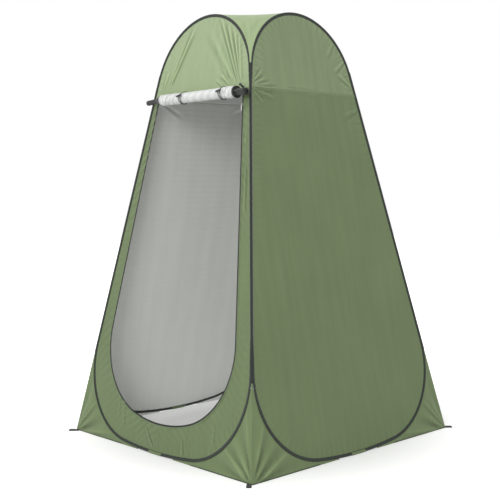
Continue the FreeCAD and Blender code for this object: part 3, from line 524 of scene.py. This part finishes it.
def cloth_level(wall, x, y):
    """Height of a wall's cloth over its flat plane.

    It is the sum of the wall's drawn folds, of small gathers across the binding that die away inwards,
    and of a slight hollow over the whole wall, all held down to nothing at the tape.
    """
    depth, along = hoop.inset(x, y)
    phase = WALLS.index(wall) * 1.7
    level = sum(drawn_fold(x, y, *fold) for fold in WALL_FOLDS[wall])
    gathers = np.sin(along * 2 * math.pi / 0.034 + 2.2 * np.sin(along * 9 + phase) + phase)
    gathers += 0.6 * np.sin(along * 2 * math.pi / 0.021 + 1.4 * np.sin(along * 13 + 2 * phase))
    strength = 0.55 + 0.45 * np.sin(along * 3.1 + phase)
    level = level + 0.0012 * strength * gathers * np.exp(-depth / 0.026)
    ripples = np.sin(x * 46 + 1.3 * np.sin(y * 2.1 + phase)) * np.sin(x * 17 + y * 1.7 + phase)
    level = level + 0.0010 * ripples * smooth_step(depth, 0.03, 0.15)
    hollow = -0.007 * np.sin(math.pi * np.clip(y / seam_height, 0, 1)) * smooth_step(depth, 0.0, 0.42)
    return (level + hollow) * smooth_step(depth, 0.009, 0.025)


def painted_shading_of(level_at, x, y):
    """Painted shade and highlight: the share by which creased cloth is painted lighter on a ridge and darker
    in a valley at x and y.

    It is the height of the cloth there less its mean height a centimetre away on four sides.
    """
    step = 0.010
    beside = level_at(x + step, y) + level_at(x - step, y) + level_at(x, y + step) + level_at(x, y - step)
    return 0.36 * np.tanh((level_at(x, y) - beside / 4) / 0.0018)


def lined_cloth(name, grid, finish, uv, painted_fold_shading, inside_out=False):
    """A sheet of the tent's cloth with its real thickness, green outside and with the lining inside."""
    piece = surface(name, grid, [finish, silver_cloth], uv=uv, inside_out=inside_out, painted_fold_shading=painted_fold_shading)
    thicken(piece, cloth_thickness, -1.0, lining=1)
    return piece


def sewn_panel(name, wall, x, y, finish, extra=lambda x, y: 0.0):
    """A wall's cloth over a grid of x and y, at the height of cloth_level and of its own extra folds."""

    def level_at(x, y):
        return cloth_level(wall, x, y) + extra(x, y)

    grid = to_tent(WALLS.index(wall), x, y, cloth_face + level_at(x, y))
    # Its folds are painted into its colour too, as painted shade and highlight.
    piece = lined_cloth(name, grid, finish, np.stack([x, y], axis=-1), painted_shading_of(level_at, x, y))
    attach(piece, f"{wall}_wall")
    return piece


def ruled(low_x, low_y, high_x, high_y, rows):
    """Grid of straight lines from each point of one edge to its partner on the other."""
    t = np.asarray(rows)[:, None]
    return low_x * (1 - t) + high_x * t, low_y * (1 - t) + high_y * t


cloth_edge = -0.0022


def side_x(y, grow):
    """Half-width of a wall at its hoop's straight side, moved outwards by grow."""
    return (hoop_offset + grow) / math.cos(corner_lean) - y * math.tan(corner_lean)


seam_half = side_x(seam_height, cloth_edge)
bend_end = hoop.ends[1]

for wall in ("right", "back", "left"):
    s = np.linspace(-bend_end, bend_end, 241)
    low_x, low_y = hoop.at(s, cloth_edge)
    x, y = ruled(low_x, low_y, s / bend_end * seam_half, seam_height, np.linspace(0, 1, 161) ** 0.92)
    panel = sewn_panel(f"wall_cloth_{wall}", wall, x, y, green_cloth)
    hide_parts(f"panel_{wall}_lower")

for wall in WALLS:
    # The upper cloth is painted light, and the front's is painted lighter than the other walls', nearly as
    # light as the roof's.
    top_painted_light_finish = front_painted_light_cloth if wall == "front" else upper_painted_light_cloth
    v = np.linspace(0, 1, 111)[:, None]
    u = np.linspace(-1, 1, 221)[None, :]
    y = seam_height + (crown_top + cloth_edge - seam_height) * np.sin(v * math.pi / 2) + 0 * u
    radius = hoop.crown + cloth_edge
    over = np.sqrt(np.clip(radius**2 - (y - hoop.crown_y) ** 2, 0, None))
    below_crown = y < hoop.crown_y + radius * math.sin(corner_lean)
    x = u * np.where(below_crown, side_x(y, cloth_edge), over)
    panel = sewn_panel(f"top_cloth_{wall}", wall, x, y, top_painted_light_finish)
    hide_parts(f"panel_{wall}_upper")

# ---- the horizontal seams ----
# Upper and lower cloth overlap by a finger's width and are sewn together with two rows of thread,
# which draw the overlap up into small puckers.

overlap_look = {"contrast": 0.12, "rough": 0.65, "sheen": 0.12, "crumple": 0.15, "mottle": 0.05}
seam_cloth = woven("seam_overlap", (0.170, 0.224, 0.112), puckers=0.012, **overlap_look)
for turns, wall in enumerate(WALLS):
    across = np.linspace(-1, 1, 241)[:, None] * (seam_half - 0.004)
    v = np.linspace(0, 1, 9)[None, :]
    wobble = 0.0008 * np.sin(across * 60 + turns) + 0.0005 * np.sin(across * 141)
    y = seam_height - 0.009 + 0.012 * v + wobble
    x = across * (1 + 0 * v)
    puff = 0.0007 * np.sin(math.pi * v) * (1 + 0.6 * np.sin(across * 2 * math.pi / 0.016))
    z = cloth_face + cloth_level(wall, x, y) + 0.0003 + puff
    seam = surface(f"seam_{wall}", to_tent(turns, x, y, z), seam_cloth, inside_out=True)
    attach(seam, f"{wall}_wall")

# ---- the cloth round the doorway ----
# The front wall's lower cloth is a broad U between the hoop and the doorway's curve. It has the
# same lining as the other walls, and the zip is sewn along its inner edge.

door_lean, door_margin = math.radians(7.6), 0.038
door_half = side_x(seam_height, 0.0) - door_margin
door_offset = door_half * math.cos(door_lean) + seam_height * math.sin(door_lean)
door = Outline(0.128, 0.680, 0.325, door_lean, door_offset)
hoop_side_end = hoop.ends[1] + (seam_height - hoop.side_low) / math.cos(corner_lean)

# The two outlines are paired sill to sill, bend to bend and side to side, by shares of the way round.
shares, stops = np.linspace(-1, 1, 401), (0.0, 0.22, 0.45, 1.0)
outer_s, inner_s = (
    np.sign(shares) * np.interp(np.abs(shares), stops, ends)
    for ends in ((0.0, *hoop.ends[:2], hoop_side_end), (0.0, *door.ends[:3]))
)
outer_x, outer_y = hoop.at(outer_s, cloth_edge)
inner_x, inner_y = door.at(inner_s)
outer_y = np.minimum(outer_y, seam_height)
x, y = ruled(outer_x, outer_y, inner_x, inner_y, np.linspace(0, 1, 41))


def doorway_drag(x, y):
    """Short slanting puckers beside the doorway, where the cut edge of the cloth has given a little."""
    depth = door.inset(x, y)[0]
    near = bell(depth, 0.09) * np.where(x < 0, 1.0, 0.55)
    slant = np.sin((y + 0.8 * np.abs(x)) * 2 * math.pi / 0.040 + 2.4 * np.sin(y * 9) + 1.1 * np.sin(x * 31))
    patchy = (0.55 + 0.45 * np.sin(y * 5.3 + 0.8)) * (0.35 + 0.65 * smooth_step(y, 0.15, 0.55))
    return 0.0013 * near * slant * patchy * smooth_step(np.abs(hoop.inset(x, y)[0]), 0.009, 0.03)


surround = sewn_panel("doorway_cloth", "front", x, y, green_cloth, extra=doorway_drag)
# Its cut is a bent strip: as long as the way round the doorway, and as wide as its broadest place.
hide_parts("panel_front_door_surround")

# ---- the corner gussets and their hems ----
# Outside each hoop's lower bends, plain cloth runs down to the ground and out to the corner, where
# the peg loops pull it into pinched folds. Its free edges are turned up and bound.

hem_tape = woven("dark_hem", (0.060, 0.080, 0.045), 0.0010, contrast=0.2, crumple=0.15, puckers=0.010)
ground_clearance, corner_gap = 0.0008, 0.0012
gusset_top = 0.350


def fold_line_x(y, gap):
    """Half-width of a wall at its fold line, less a gap."""
    return half_base - gap / math.cos(corner_lean) - y * math.tan(corner_lean)


def gusset_level(x, y, side, phase):
    """Pinched folds that fan out from the ground corner: a sine of the angle there, fading outwards."""
    cx = fold_line_x(0.0, corner_gap)
    angle = np.arctan2(y + 0.012, cx - side * x + 0.012)
    far = np.hypot(x * side - cx, y)
    fan = 1.2 * (1 - np.abs(np.sin(angle * 4.5 + phase))) ** 2 + 0.4 * np.sin(angle * 15 + 2 * phase)
    return 0.0105 * fan * smooth_step(far, 0.0, 0.06) * bell(far, 0.24)


bend_along = np.linspace(0, bend_end, 400)
gusset_grow, gusset_low, gusset_foot, foot_share = 0.0012, 0.118, 0.120, 0.55
gusset_high = np.interp(gusset_top, hoop.at(bend_along, gusset_grow)[1], bend_along)
hem_start = 0.235
hem_profile = ((0.0, -0.0012), (0.0, 0.0006), (0.0024, 0.0009), (0.0045, 0.0006), (0.0045, 0.0))
ground_end = fold_line_x(ground_clearance, corner_gap)

for turns, wall in enumerate(WALLS):
    for side, side_name in ((-1, "left"), (1, "right")):
        # From the hoop to an edge that runs along the ground and then up the fold line.
        a = np.linspace(0, 1, 81)
        arc_x, arc_y = hoop.at(gusset_low + (gusset_high - gusset_low) * a, gusset_grow)
        climb = np.clip((a - foot_share) / (1 - foot_share), 0, 1)
        edge_y = ground_clearance + (gusset_top - ground_clearance) * climb
        foot_x = gusset_foot + (ground_end - gusset_foot) * a / foot_share
        edge_x = np.where(a < foot_share, foot_x, fold_line_x(edge_y, corner_gap))
        rows = np.linspace(0, 1, 41)
        x, y = ruled(arc_x, np.maximum(arc_y, ground_clearance), edge_x, edge_y, rows)
        x = x * side
        depth = -hoop.inset(x, y)[0]
        phase = turns * 1.9 + (0.6 if side > 0 else 2.4)
        pinned = smooth_step(depth, 0.002, 0.02) * smooth_step(fold_line_x(y, 0) - x * side, 0.0, 0.03)
        pinned = pinned * smooth_step(y, 0.0, 0.02)
        grid = to_tent(turns, x, y, cloth_face + gusset_level(x, y, side, phase) * pinned)
        # Painted shade and highlight of the pinched folds where they are pinned, and an even painted
        # lightening of the whole gusset.
        shade = 0.09 + 1.2 * painted_shading_of(lambda x, y: gusset_level(x, y, side, phase), x, y) * pinned
        name, uv = f"{wall}_{side_name}", np.stack([x, y], axis=-1)
        piece = lined_cloth(f"gusset_cloth_{name}", grid, green_cloth, uv, shade, inside_out=side > 0)
        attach(piece, f"{wall}_wall")
        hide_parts(f"gusset_{name}")
        # The hem: a flat fold of darker tape along the ground.
        hem_x = np.linspace(hem_start, ground_end, 61)
        rows = []
        for rise, out in hem_profile:
            hem_y = ground_clearance + rise
            x = np.minimum(hem_x, fold_line_x(hem_y, corner_gap)) * side
            rows.append(to_tent(turns, x, hem_y, cloth_face + out))
        hem = surface(f"hem_{name}", np.stack(rows), hem_tape, inside_out=side > 0)
        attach(hem, f"{wall}_wall")

# ---- the corner joints between walls ----
# Neighbouring hoops are sewn together along their tapes, and the gussets along their hems. The
# joint is a narrow folded strip, black beside the hoops and green below, that works as a hinge.

corner_green = woven("corner_fold", (0.165, 0.220, 0.106), puckers=0.010, **overlap_look)
crown_meet = hoop.crown_y + hoop.crown * math.sin(corner_lean)
strip_profile = ((0.0042, 0.0), (0.0018, 0.0004), (-0.0009, 0.0006))
strip_parts = (
    ("tape", (0.372, crown_meet + 0.01, 161), black_tape, "black_tape", 0.0030),
    ("fold", (0.002, 0.382, 61), corner_green, "green_cloth", 0.0014),
)

for turns, near in enumerate(WALLS):
    next_turns = (turns + 1) % 4
    far = WALLS[next_turns]
    for part, (low, high, count), finish, slot_name, lift in strip_parts:
        y = np.linspace(low, high, count)
        one_side, other_side = (
            [to_tent(wall, side * fold_line_x(y, gap), y, lift + rise) for gap, rise in strip_profile]
            for wall, side in ((turns, 1), (next_turns, -1))
        )
        ridge = (one_side.pop() + other_side.pop()) / 2
        columns = np.stack([*one_side, ridge, *other_side[::-1]], axis=1)
        strip = surface(f"corner_{part}_{near}_{far}", columns, finish)
        thicken(strip, 0.0006, -1.0)
        if near == "back":
            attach(strip, "back_wall")
            continue
        middle_y = (low + high) / 2
        start, end = (
            tuple(to_tent(wall, side * fold_line_x(middle_y, 0.004), middle_y, 0.0024).tolist())
            for wall, side in ((turns, 1), (next_turns, -1))
        )
        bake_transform(strip)

# ---- the roof ----
# One square of green cloth, painted lighter than the walls' as painted light from above, is sewn to
# the outer rims of the four crowns. Between two hoops it spans level from one to the other, and its
# middle hangs a little. It is made in parts that meet without a seam: the middle's four quarters and
# the back gore's two halves each ride on a wall, and the other gores stay where they are.

rim = hoop.crown + 0.0012
roof_sag = 0.007


def crown_point(turns, angle):
    """Point on a crown's outer rim at an angle from the wall's right-hand side."""
    return to_tent(turns, rim * np.cos(angle), hoop.crown_y + rim * np.sin(angle), 0.0030)


def roof_pleats(s, t):
    """Soft pleats that fan up a gore from its corner, as a share: sines across it that die out upwards."""
    pleats = np.sin(14 * s + 2 * np.sin(3 * t) + 1) + 0.6 * np.sin(27 * s + 5 * t)
    return 0.5 * pleats * (1 - smooth_step(t, 0.35, 1.35)) * 4 * s * (1 - s)


def roof_hang(s, t):
    """How far the roof hangs below a level span: a parabola across it, with its pleats."""
    return roof_sag * 4 * s * (1 - s) + 0.0026 * roof_pleats(s, t) * smooth_step(math.pi / 2 - t, 0.0, 0.25)


angles = np.linspace(corner_lean - 0.10, math.pi / 2, 61)
tops = [crown_point(turns, math.pi / 2) for turns in range(4)]


def roof_piece(name, grid, painted_fold_shading):
    """One part of the roof, from a grid over it."""
    piece = lined_cloth(name, grid, roof_painted_light_green, grid[..., :2] + 2.0, painted_fold_shading)
    # The thin rim must not bend the shading where two parts meet, so broad faces count most there.
    piece.modifiers.new("even_shading", "WEIGHTED_NORMAL").mode = "FACE_AREA"
    return piece


def fold_flat(piece, turns, axis):
    """Puts a part of the roof on its own wall, with a mesh of its own."""
    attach(piece, f"{WALLS[turns]}_wall")
    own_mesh(piece)


def gore_piece(turns, name, low, high):
    """The part of a gore from one share of its width to another, level between two crowns."""
    s = np.linspace(low, high, 49)[None, :, None]
    one = crown_point(turns, angles)[:, None, :]
    two = crown_point((turns + 1) % 4, math.pi - angles)[:, None, :]
    grid = one * (1 - s) + two * s
    span = np.linalg.norm(two - one, axis=-1)
    grid[..., 2] -= roof_hang(s[..., 0], angles[:, None]) * smooth_step(span, 0.0, 0.40)
    # The pleats are painted in as well, as painted shade and highlight.
    painted_fold_shading = 0.20 * roof_pleats(s[..., 0], angles[:, None]) * smooth_step(span, 0.0, 0.10)
    return roof_piece(name, grid, painted_fold_shading)


for turns, near in enumerate(WALLS):
    next_turns = (turns + 1) % 4
    far = WALLS[next_turns]
    if near != "back":
        gore = gore_piece(turns, f"roof_gore_{near}_{far}", 0.0, 1.0)
        across = (tops[next_turns] - tops[turns]) * 0.16
        middle = (tops[next_turns] + tops[turns]) / 2
        start, end = (tuple((middle + sign * across).tolist()) for sign in (-1, 1))
        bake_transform(gore)
        continue
    # No hinge joins these two walls, so their gore is in two halves, each on one of them.
    for wall, low, high in ((2, 0.0, 0.5), (3, 0.5, 1.0)):
        half = gore_piece(turns, f"roof_gore_{WALLS[wall]}_half", low, high)
        fold_flat(half, wall, to_tent(wall, 0.0, 0.0, 1.0) - to_tent(wall, 0.0, 0.0, 0.0))

# The level middle, in four quarters that meet at its centre, each on the wall that it adjoins.
for turns, wall in enumerate(WALLS):
    corners = [tops[(turns + k) % 4] for k in range(4)]
    b, a = np.meshgrid(np.linspace(0, 0.5, 25), np.linspace(0, 0.5, 25), indexing="ij")
    weights = ((1 - a) * (1 - b), a * (1 - b), a * b, (1 - a) * b)
    grid = sum(w[..., None] * p for w, p in zip(weights, corners))
    grid[..., 2] -= roof_sag * 4 * (a * (1 - a) + b * (1 - b))
    quarter = roof_piece(f"roof_middle_{wall}", grid, 0 * a)
    inward = corners[2] - corners[0]
    fold_flat(quarter, turns, inward / np.linalg.norm(inward))
    if wall == "front":
        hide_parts("roof_panel")

# ---- the doorway's zip ----
# A coil zip: black tape sewn on round the doorway, with its row of nylon teeth standing in from the
# tape's edge. A narrow fold of green cloth covers the outer half of the tape.

zip_tape = woven(
    "zip_tape", (0.026, 0.030, 0.027), 0.0008, contrast=0.25, rough=0.75, crumple=0.1, mottle=0.08
)


def worn(tree, scale, low, high):
    """Roughness that fine noise varies between two values."""
    return add_node(tree, "MapRange", "Result", Value=speckle(tree, scale), To_Min=low, To_Max=high)


coil_black, coil_tree, coil_shader = new_material("nylon_coil", Base_Color=(0.022, 0.024, 0.023, 1))
fill(coil_shader, Roughness=worn(coil_tree, 400, 0.34, 0.52))

door_end = door.ends[2]
zip_along = np.linspace(-door_end, door_end, 601)
tape_profile = [
    (-0.0012, 0.0017), (-0.0012, 0.0023), (0.0010, 0.0024), (0.0040, 0.0023), (0.0070, 0.0022),
    (0.0070, 0.0017), (0.0030, 0.0016),
]
zip_grid = carried(0, door, zip_along, tape_profile)
zip_piece = surface("door_zip", zip_grid, zip_tape, loop=True, inside_out=True)
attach(zip_piece, "front_wall")
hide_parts("door_zip_tape")

# Each tooth is a small block with a rounded head, tilted along the coil.
tooth_pitch = 0.0021
tooth_profile = [
    (-0.0030, 0.0018, -0.30), (0.0002, 0.0017, -0.30), (0.0002, 0.0017, 0.20), (-0.0030, 0.0018, 0.20),
    (-0.0027, 0.0030, -0.20), (0.0000, 0.0031, -0.20), (0.0000, 0.0031, 0.30), (-0.0027, 0.0030, 0.30),
]
tooth_faces = np.array([(0, 1, 2, 3), (7, 6, 5, 4), (0, 4, 5, 1), (1, 5, 6, 2), (2, 6, 7, 3), (3, 7, 4, 0)])
tooth = np.arange(int(2 * door_end / tooth_pitch))[:, None]
grow, z, shift = np.transpose(tooth_profile)
x, y = door.at((tooth + 0.5 + shift) * tooth_pitch - door_end, grow)
teeth_mesh = bpy.data.meshes.new("door_zip_teeth")
teeth_faces = (tooth_faces + tooth[:, :, None] * len(tooth_profile)).reshape(-1, 4)
teeth_mesh.from_pydata(to_tent(0, x, y, z).reshape(-1, 3).tolist(), [], teeth_faces.tolist())
teeth_mesh.materials.append(coil_black)
teeth = put("door_zip_teeth", teeth_mesh)
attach(teeth, "front_wall")

flap_profile = [
    (0.0050, 0.0022), (0.0047, 0.0024), (0.0052, 0.0028), (0.0064, 0.0029), (0.0082, 0.0027),
    (0.0092, 0.0023), (0.0094, 0.0018),
]
flap_grid = carried(0, door, zip_along, flap_profile, lambda s: 1 + 0.04 * np.sin(s * 2 * math.pi / 0.03))
flap = surface("doorway_fold", flap_grid, seam_cloth, inside_out=True)
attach(flap, "front_wall")

# ---- the slider and its pull ----
# The slider is a small die-cast body that runs on the teeth. Its pull, stamped from sheet, hangs from
# a bail on the slider's face. Both are bare zinc grey.

zip_grey = (0.46, 0.46, 0.455, 1)
zip_metal, zip_tree, zip_shader = new_material("cast_zip_metal", Metallic=1.0, Base_Color=zip_grey)
fill(zip_shader, Roughness=worn(zip_tree, 260, 0.22, 0.42))
dress("zip_slider", zip_metal)
dress("zip_pull", zip_metal)

# ---- the ribbon over the zip's upper end ----
# A short black ribbon sewn flat on the wall above the doorway's right-hand corner, where it covers
# the end of the zip's tape.

v = np.linspace(0, 1, 25)[:, None]
u = np.linspace(-1, 1, 9)[None, :]
x = door_half - 0.028 + 0.034 * v + 0.0015 * u
y = seam_height + 0.018 - 0.012 * v + 0.003 * np.sin(2 * math.pi * v) + 0.0048 * u
arched = 0.0012 * np.sin(math.pi * v) ** 2 * (1 - 0.4 * u**2)
z = cloth_face + np.maximum(cloth_level("front", x, y), 0) + 0.0005 + arched
tab = surface("zip_end_ribbon", to_tent(0, x, y, z), black_tape, inside_out=True)
thicken(tab, 0.0006)
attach(tab, "front_wall")
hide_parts("zip_end_tab")

# ---- the rolled-up door ----
# The door's cloth is rolled up from its foot with the silver side out. Its zipped edges are cut at
# a slant, so the inner turns stand out at both ends in cones of black zip tape.

roll_radius, roll_core, roll_pitch = 0.025, 0.0055, 0.00133
roll_y, roll_z = seam_height + 0.005 - roll_radius, 0.0068 + roll_radius
left_end, right_end = -0.2112, 0.2722
left_tip, right_disc, right_knob = -0.3290, 0.2800, 0.3410
tip_radius, knob_radius = 0.012, 0.015
silver_door = woven(
    "door_lining", (0.735, 0.745, 0.735), contrast=0.05, rough=0.5, sheen=0.05, crumple=0.35, mottle=0.05
)
zip_edge = woven(
    "rolled_zip_tape", (0.035, 0.038, 0.036), 0.0016, contrast=0.55, crumple=0.5, mottle=0.3, puckers=0.004
)
turns_of_cloth = (roll_radius - roll_core) / roll_pitch
sweep = np.linspace(0, turns_of_cloth * 2 * math.pi, int(turns_of_cloth * 34))[:, None]
turn_radius = roll_radius - roll_pitch * sweep / (2 * math.pi)
left_x = left_end - np.interp(turn_radius, (tip_radius, roll_radius), (0.042, 0.0))
left_x = np.where(turn_radius < tip_radius, left_tip + 0.010 * (turn_radius / tip_radius) ** 2, left_x)
right_x = right_disc - 0.0010 * np.sin(sweep * 9.3) ** 2
right_x = np.where(turn_radius > knob_radius, right_x, right_knob - 0.009 * (turn_radius / knob_radius) ** 3)
u = np.r_[np.linspace(0, 0.16, 10)[:-1], np.linspace(0.16, 0.86, 56), np.linspace(0.86, 1, 14)[1:]][None, :]
x = left_x + (right_x - left_x) * u
tie_places = (-0.0662, 0.1942)
swell = -0.0022 * smooth_step(x, -0.12, -0.03) * (1 - smooth_step(x, 0.12, 0.22)) + 0 * sweep
ruffled = bell(x + 0.165, 0.060) + bell(x - 0.240, 0.034) + 0.03
for tie in tie_places:
    swell = swell - 0.0016 * bell(x - tie, 0.010)
    ruffled = ruffled + 0.6 * bell(x - tie, 0.025)
wrinkles = 1 - 2.4 * np.abs(np.sin(x * math.pi / 0.015 + 1.3 * sweep + 0.9 * np.sin(x * 61 + sweep)))
wrinkles += 1 - 2.0 * np.abs(np.sin(x * math.pi / 0.021 - 1.6 * sweep + 0.8 * np.sin(x * 37)))
crumple = 0.0009 * ruffled * wrinkles + 0.0003 * np.sin(x * 133 + 2 * np.sin(sweep))
outer_share = smooth_step(turn_radius, 0.016, 0.025)
r = turn_radius + (swell + crumple) * outer_share
droop = -0.005 * smooth_step(np.abs(x), 0.20, 0.34) ** 2
y = roll_y - r * np.sin(sweep) + droop
z = roll_z - r * np.cos(sweep)
roll_uv = np.stack([x, sweep * turn_radius + 0 * x], axis=-1)
# Painted shade and highlight of the crumples on the outer turns: darker in the grooves, lighter on the
# ridges.
roll_painted_shading = 0.34 * np.tanh((crumple + 0.0003 * ruffled) / 0.0012) * outer_share


def zip_taped(middles):
    """The cloth's ends past the lining are zip tape."""
    return (middles[:, 0] > right_end - 0.001) | (middles[:, 0] < left_end + 0.001)


roll_looks = {"uv": roll_uv, "pick": zip_taped, "painted_fold_shading": roll_painted_shading}
roll = surface("rolled_door", to_tent(0, x, y, z), [silver_door, zip_edge], **roll_looks)
thicken(roll, 0.0007)
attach(roll, "front_wall")
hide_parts("door_roll", "door_roll_end_left", "door_roll_end_right")

# The door's top edge: a short stretch of the same cloth from the seam down behind the roll.
v = np.linspace(0, 1, 17)[:, None]
u = np.linspace(0, 1, 81)[None, :]
x = left_end + 0.002 + (right_end - left_end - 0.004) * u + 0 * v
y = seam_height + 0.0035 - 0.014 * v + 0.0006 * np.sin(x * 120) * v
z = cloth_face + 0.0008 + (roll_z - roll_radius - cloth_face - 0.0005) * smooth_step(v, 0, 1) + 0 * u
apron = surface("door_top_edge", to_tent(0, x, y, z), silver_door, inside_out=True)
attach(apron, "front_wall")

# ---- the ties and their toggles ----
# Each tie is a band of black elastic, sewn on above the door and brought round the roll. A small
# toggle bar, held at its waist by a cord, is pushed through a loop at the band's end.

elastic = woven("black_elastic", (0.020, 0.022, 0.021), contrast=0.35, puckers=0.003)
cord_black = woven("black_cord", (0.020, 0.022, 0.021), 0.0007, contrast=0.4)
toggle_black = (0.018, 0.018, 0.019, 1)
toggle_plastic, toggle_tree, toggle_shader = new_material(
    "toggle_plastic", Base_Color=toggle_black, Roughness=0.4
)
moulded = {"Height": speckle(toggle_tree, 700), "Strength": 0.2, "Distance": 0.0002}
fill(toggle_shader, Normal=add_node(toggle_tree, "Bump", "Normal", **moulded))


def round_roll(x, radius, angle):
    """Points at a radius from the roll's axis, at an angle up from its front."""
    return to_tent(0, x, roll_y + radius * np.sin(angle), roll_z + radius * np.cos(angle))


band_across, band_out = np.transpose(
    [(-0.003, 0.0), (-0.003, 0.0010), (-0.0015, 0.0013), (0.0015, 0.0013), (0.003, 0.0010), (0.003, 0.0)]
)
tie_radius, strand_radius = roll_radius + 0.0004, 0.0014
strap_top, toggle_climb, toggle_skew = (math.radians(a) for a in (98, 5, 12))
loop_end = -math.radians(215)
strap_lean = 0.012

# The bar's axis, the way out of the roll there and the way across both, in the front wall's flat frame.
out_of_roll = np.array([0.0, math.sin(toggle_climb), math.cos(toggle_climb)])
up_roll = np.array([0.0, math.cos(toggle_climb), -math.sin(toggle_climb)])
bar_axis = np.array([math.cos(toggle_skew), 0.0, 0.0]) + math.sin(toggle_skew) * up_roll
across_bar = np.cross(out_of_roll, bar_axis)
bar_out, waist_radius, cord_radius = roll_radius + 0.0057, 0.0022, 0.0008

for name, tie in zip(("left", "right"), tie_places):
    # The strap: from the wall over the roll's top and down to the toggle.
    a = np.linspace(strap_top, toggle_climb, 37)[:, None]
    leaning = strap_lean * (a - toggle_climb) / (strap_top - toggle_climb)
    strap = round_roll(tie + band_across + leaning, tie_radius + band_out, a)
    t = np.linspace(0, 1, 15)[:, None]
    tail_x = tie + band_across + strap_lean + 0.006 * (1 - t)
    tail_y = roll_y + tie_radius * math.sin(strap_top) + 0.002 * (1 - t) ** 2 + band_out
    tail_z = cloth_face + 0.0006 + (roll_z - cloth_face - 0.004) * t
    more = [to_tent(0, tail_x, tail_y, tail_z)]
    # The loop: two thin strands from the toggle round under the roll and up behind it to the wall.
    a = np.linspace(toggle_climb + 0.10, loop_end, 61)[:, None]
    b = np.linspace(0, 2 * math.pi, 9)[:-1]
    apart = 0.0017 + 0.0034 * np.clip(1 - np.abs(a + 0.45) / 1.1, 0, 1) ** 0.5
    for side in (-1, 1):
        strand_x = tie + side * apart + strand_radius * np.sin(b)
        more.append(round_roll(strand_x, tie_radius + strand_radius * (1 + np.cos(b)), a))
    band = surface(f"door_tie_band_{name}", strap, elastic, loop=True, more=more)
    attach(band, "front_wall")
    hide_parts(f"door_tie_{name}")
    dress(f"toggle_bar_{name}", toggle_plastic)
    # The cord: two strands twisted together into a ring that grips the toggle's waist.
    a = np.linspace(0, 2 * math.pi, 61)[:, None, None]
    b = np.linspace(0, 2 * math.pi, 11)[:-1, None]
    thread = cord_radius * (1 + 0.14 * np.cos(a * 14 + 2 * b))
    radial = np.cos(a) * across_bar + np.sin(a) * out_of_roll
    ring = np.array([tie, roll_y, roll_z]) + out_of_roll * bar_out + bar_axis * thread * np.sin(b)
    ring = ring + radial * (waist_radius + cord_radius + thread * np.cos(b))
    ring_grid = to_tent(0, *np.moveaxis(ring, -1, 0))
    cord_ring = surface(f"toggle_loop_{name}", ring_grid, cord_black, loop=True, inside_out=True)
    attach(cord_ring, f"toggle_{name}")
    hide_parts(f"toggle_cord_{name}")

# ---- the peg loops ----
# At each ground corner a strip of heavy black webbing is folded double and sewn on, pointing out
# along the diagonal. A ground peg goes through its fold.

webbing = woven(
    "black_webbing", (0.024, 0.027, 0.025), 0.0018, contrast=0.4, rough=0.75, crumple=0.25,
    mottle=0.12, puckers=0.004,
)
layer, slack = 0.0012, 0.0024
loop_length, loop_half_width, loop_sewn, loop_bend = 0.044, 0.010, 0.004, 0.0026
face_y = half_base + cloth_face / math.cos(wall_lean)
loop_across = half_base - 0.002 - 0.020 / math.sqrt(2)

# The strip's middle line, out along the ground, round the fold and back above itself.
t = np.linspace(0, 1, 24)
straight = (loop_length - loop_bend + loop_sewn) * t - loop_sewn
bulge = slack * smooth_step(t, 0.3, 0.45) * (1 - 0.15 * np.sin(t * 6))
bend = np.linspace(-math.pi / 2, math.pi / 2, 9)[1:-1]
bent = loop_length - loop_bend + (loop_bend - layer / 2) * np.cos(bend)
path_out = np.r_[straight, bent, straight[::-1]][:, None]
climb = np.r_[0 * t, (slack + layer) / 2 * (1 + np.sin(bend)), (layer * 0.9 + bulge)[::-1]][:, None]
across = np.linspace(-1, 1, 9) * loop_half_width
upright = layer / 2 + np.minimum(climb, layer + slack) + 0.00015 * np.cos(across * 900)

for corner, sx, sy in (
    ("front_left", -1, -1), ("front_right", 1, -1), ("back_right", 1, 1), ("back_left", -1, 1),
):
    wx = sx * (loop_across + (path_out + across) / math.sqrt(2))
    wy = sy * (face_y + (path_out - across) / math.sqrt(2))
    grid = np.stack([wx, wy, upright], axis=-1)
    strap = surface(f"peg_loop_{corner}", grid, webbing, inside_out=sx * sy > 0)
    thicken(strap, layer * 0.9)
    if corner == "front_right":
        # This corner closes as the tent folds; its loop is baked in place and rides on no wall.
        start, end = ((half_base + step, -half_base + step, 0.0) for step in (-0.15, 0.15))
        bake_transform(strap)
    else:
        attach(strap, "front_wall" if sy < 0 else "back_wall")
    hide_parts(f"stake_loop_{corner}")
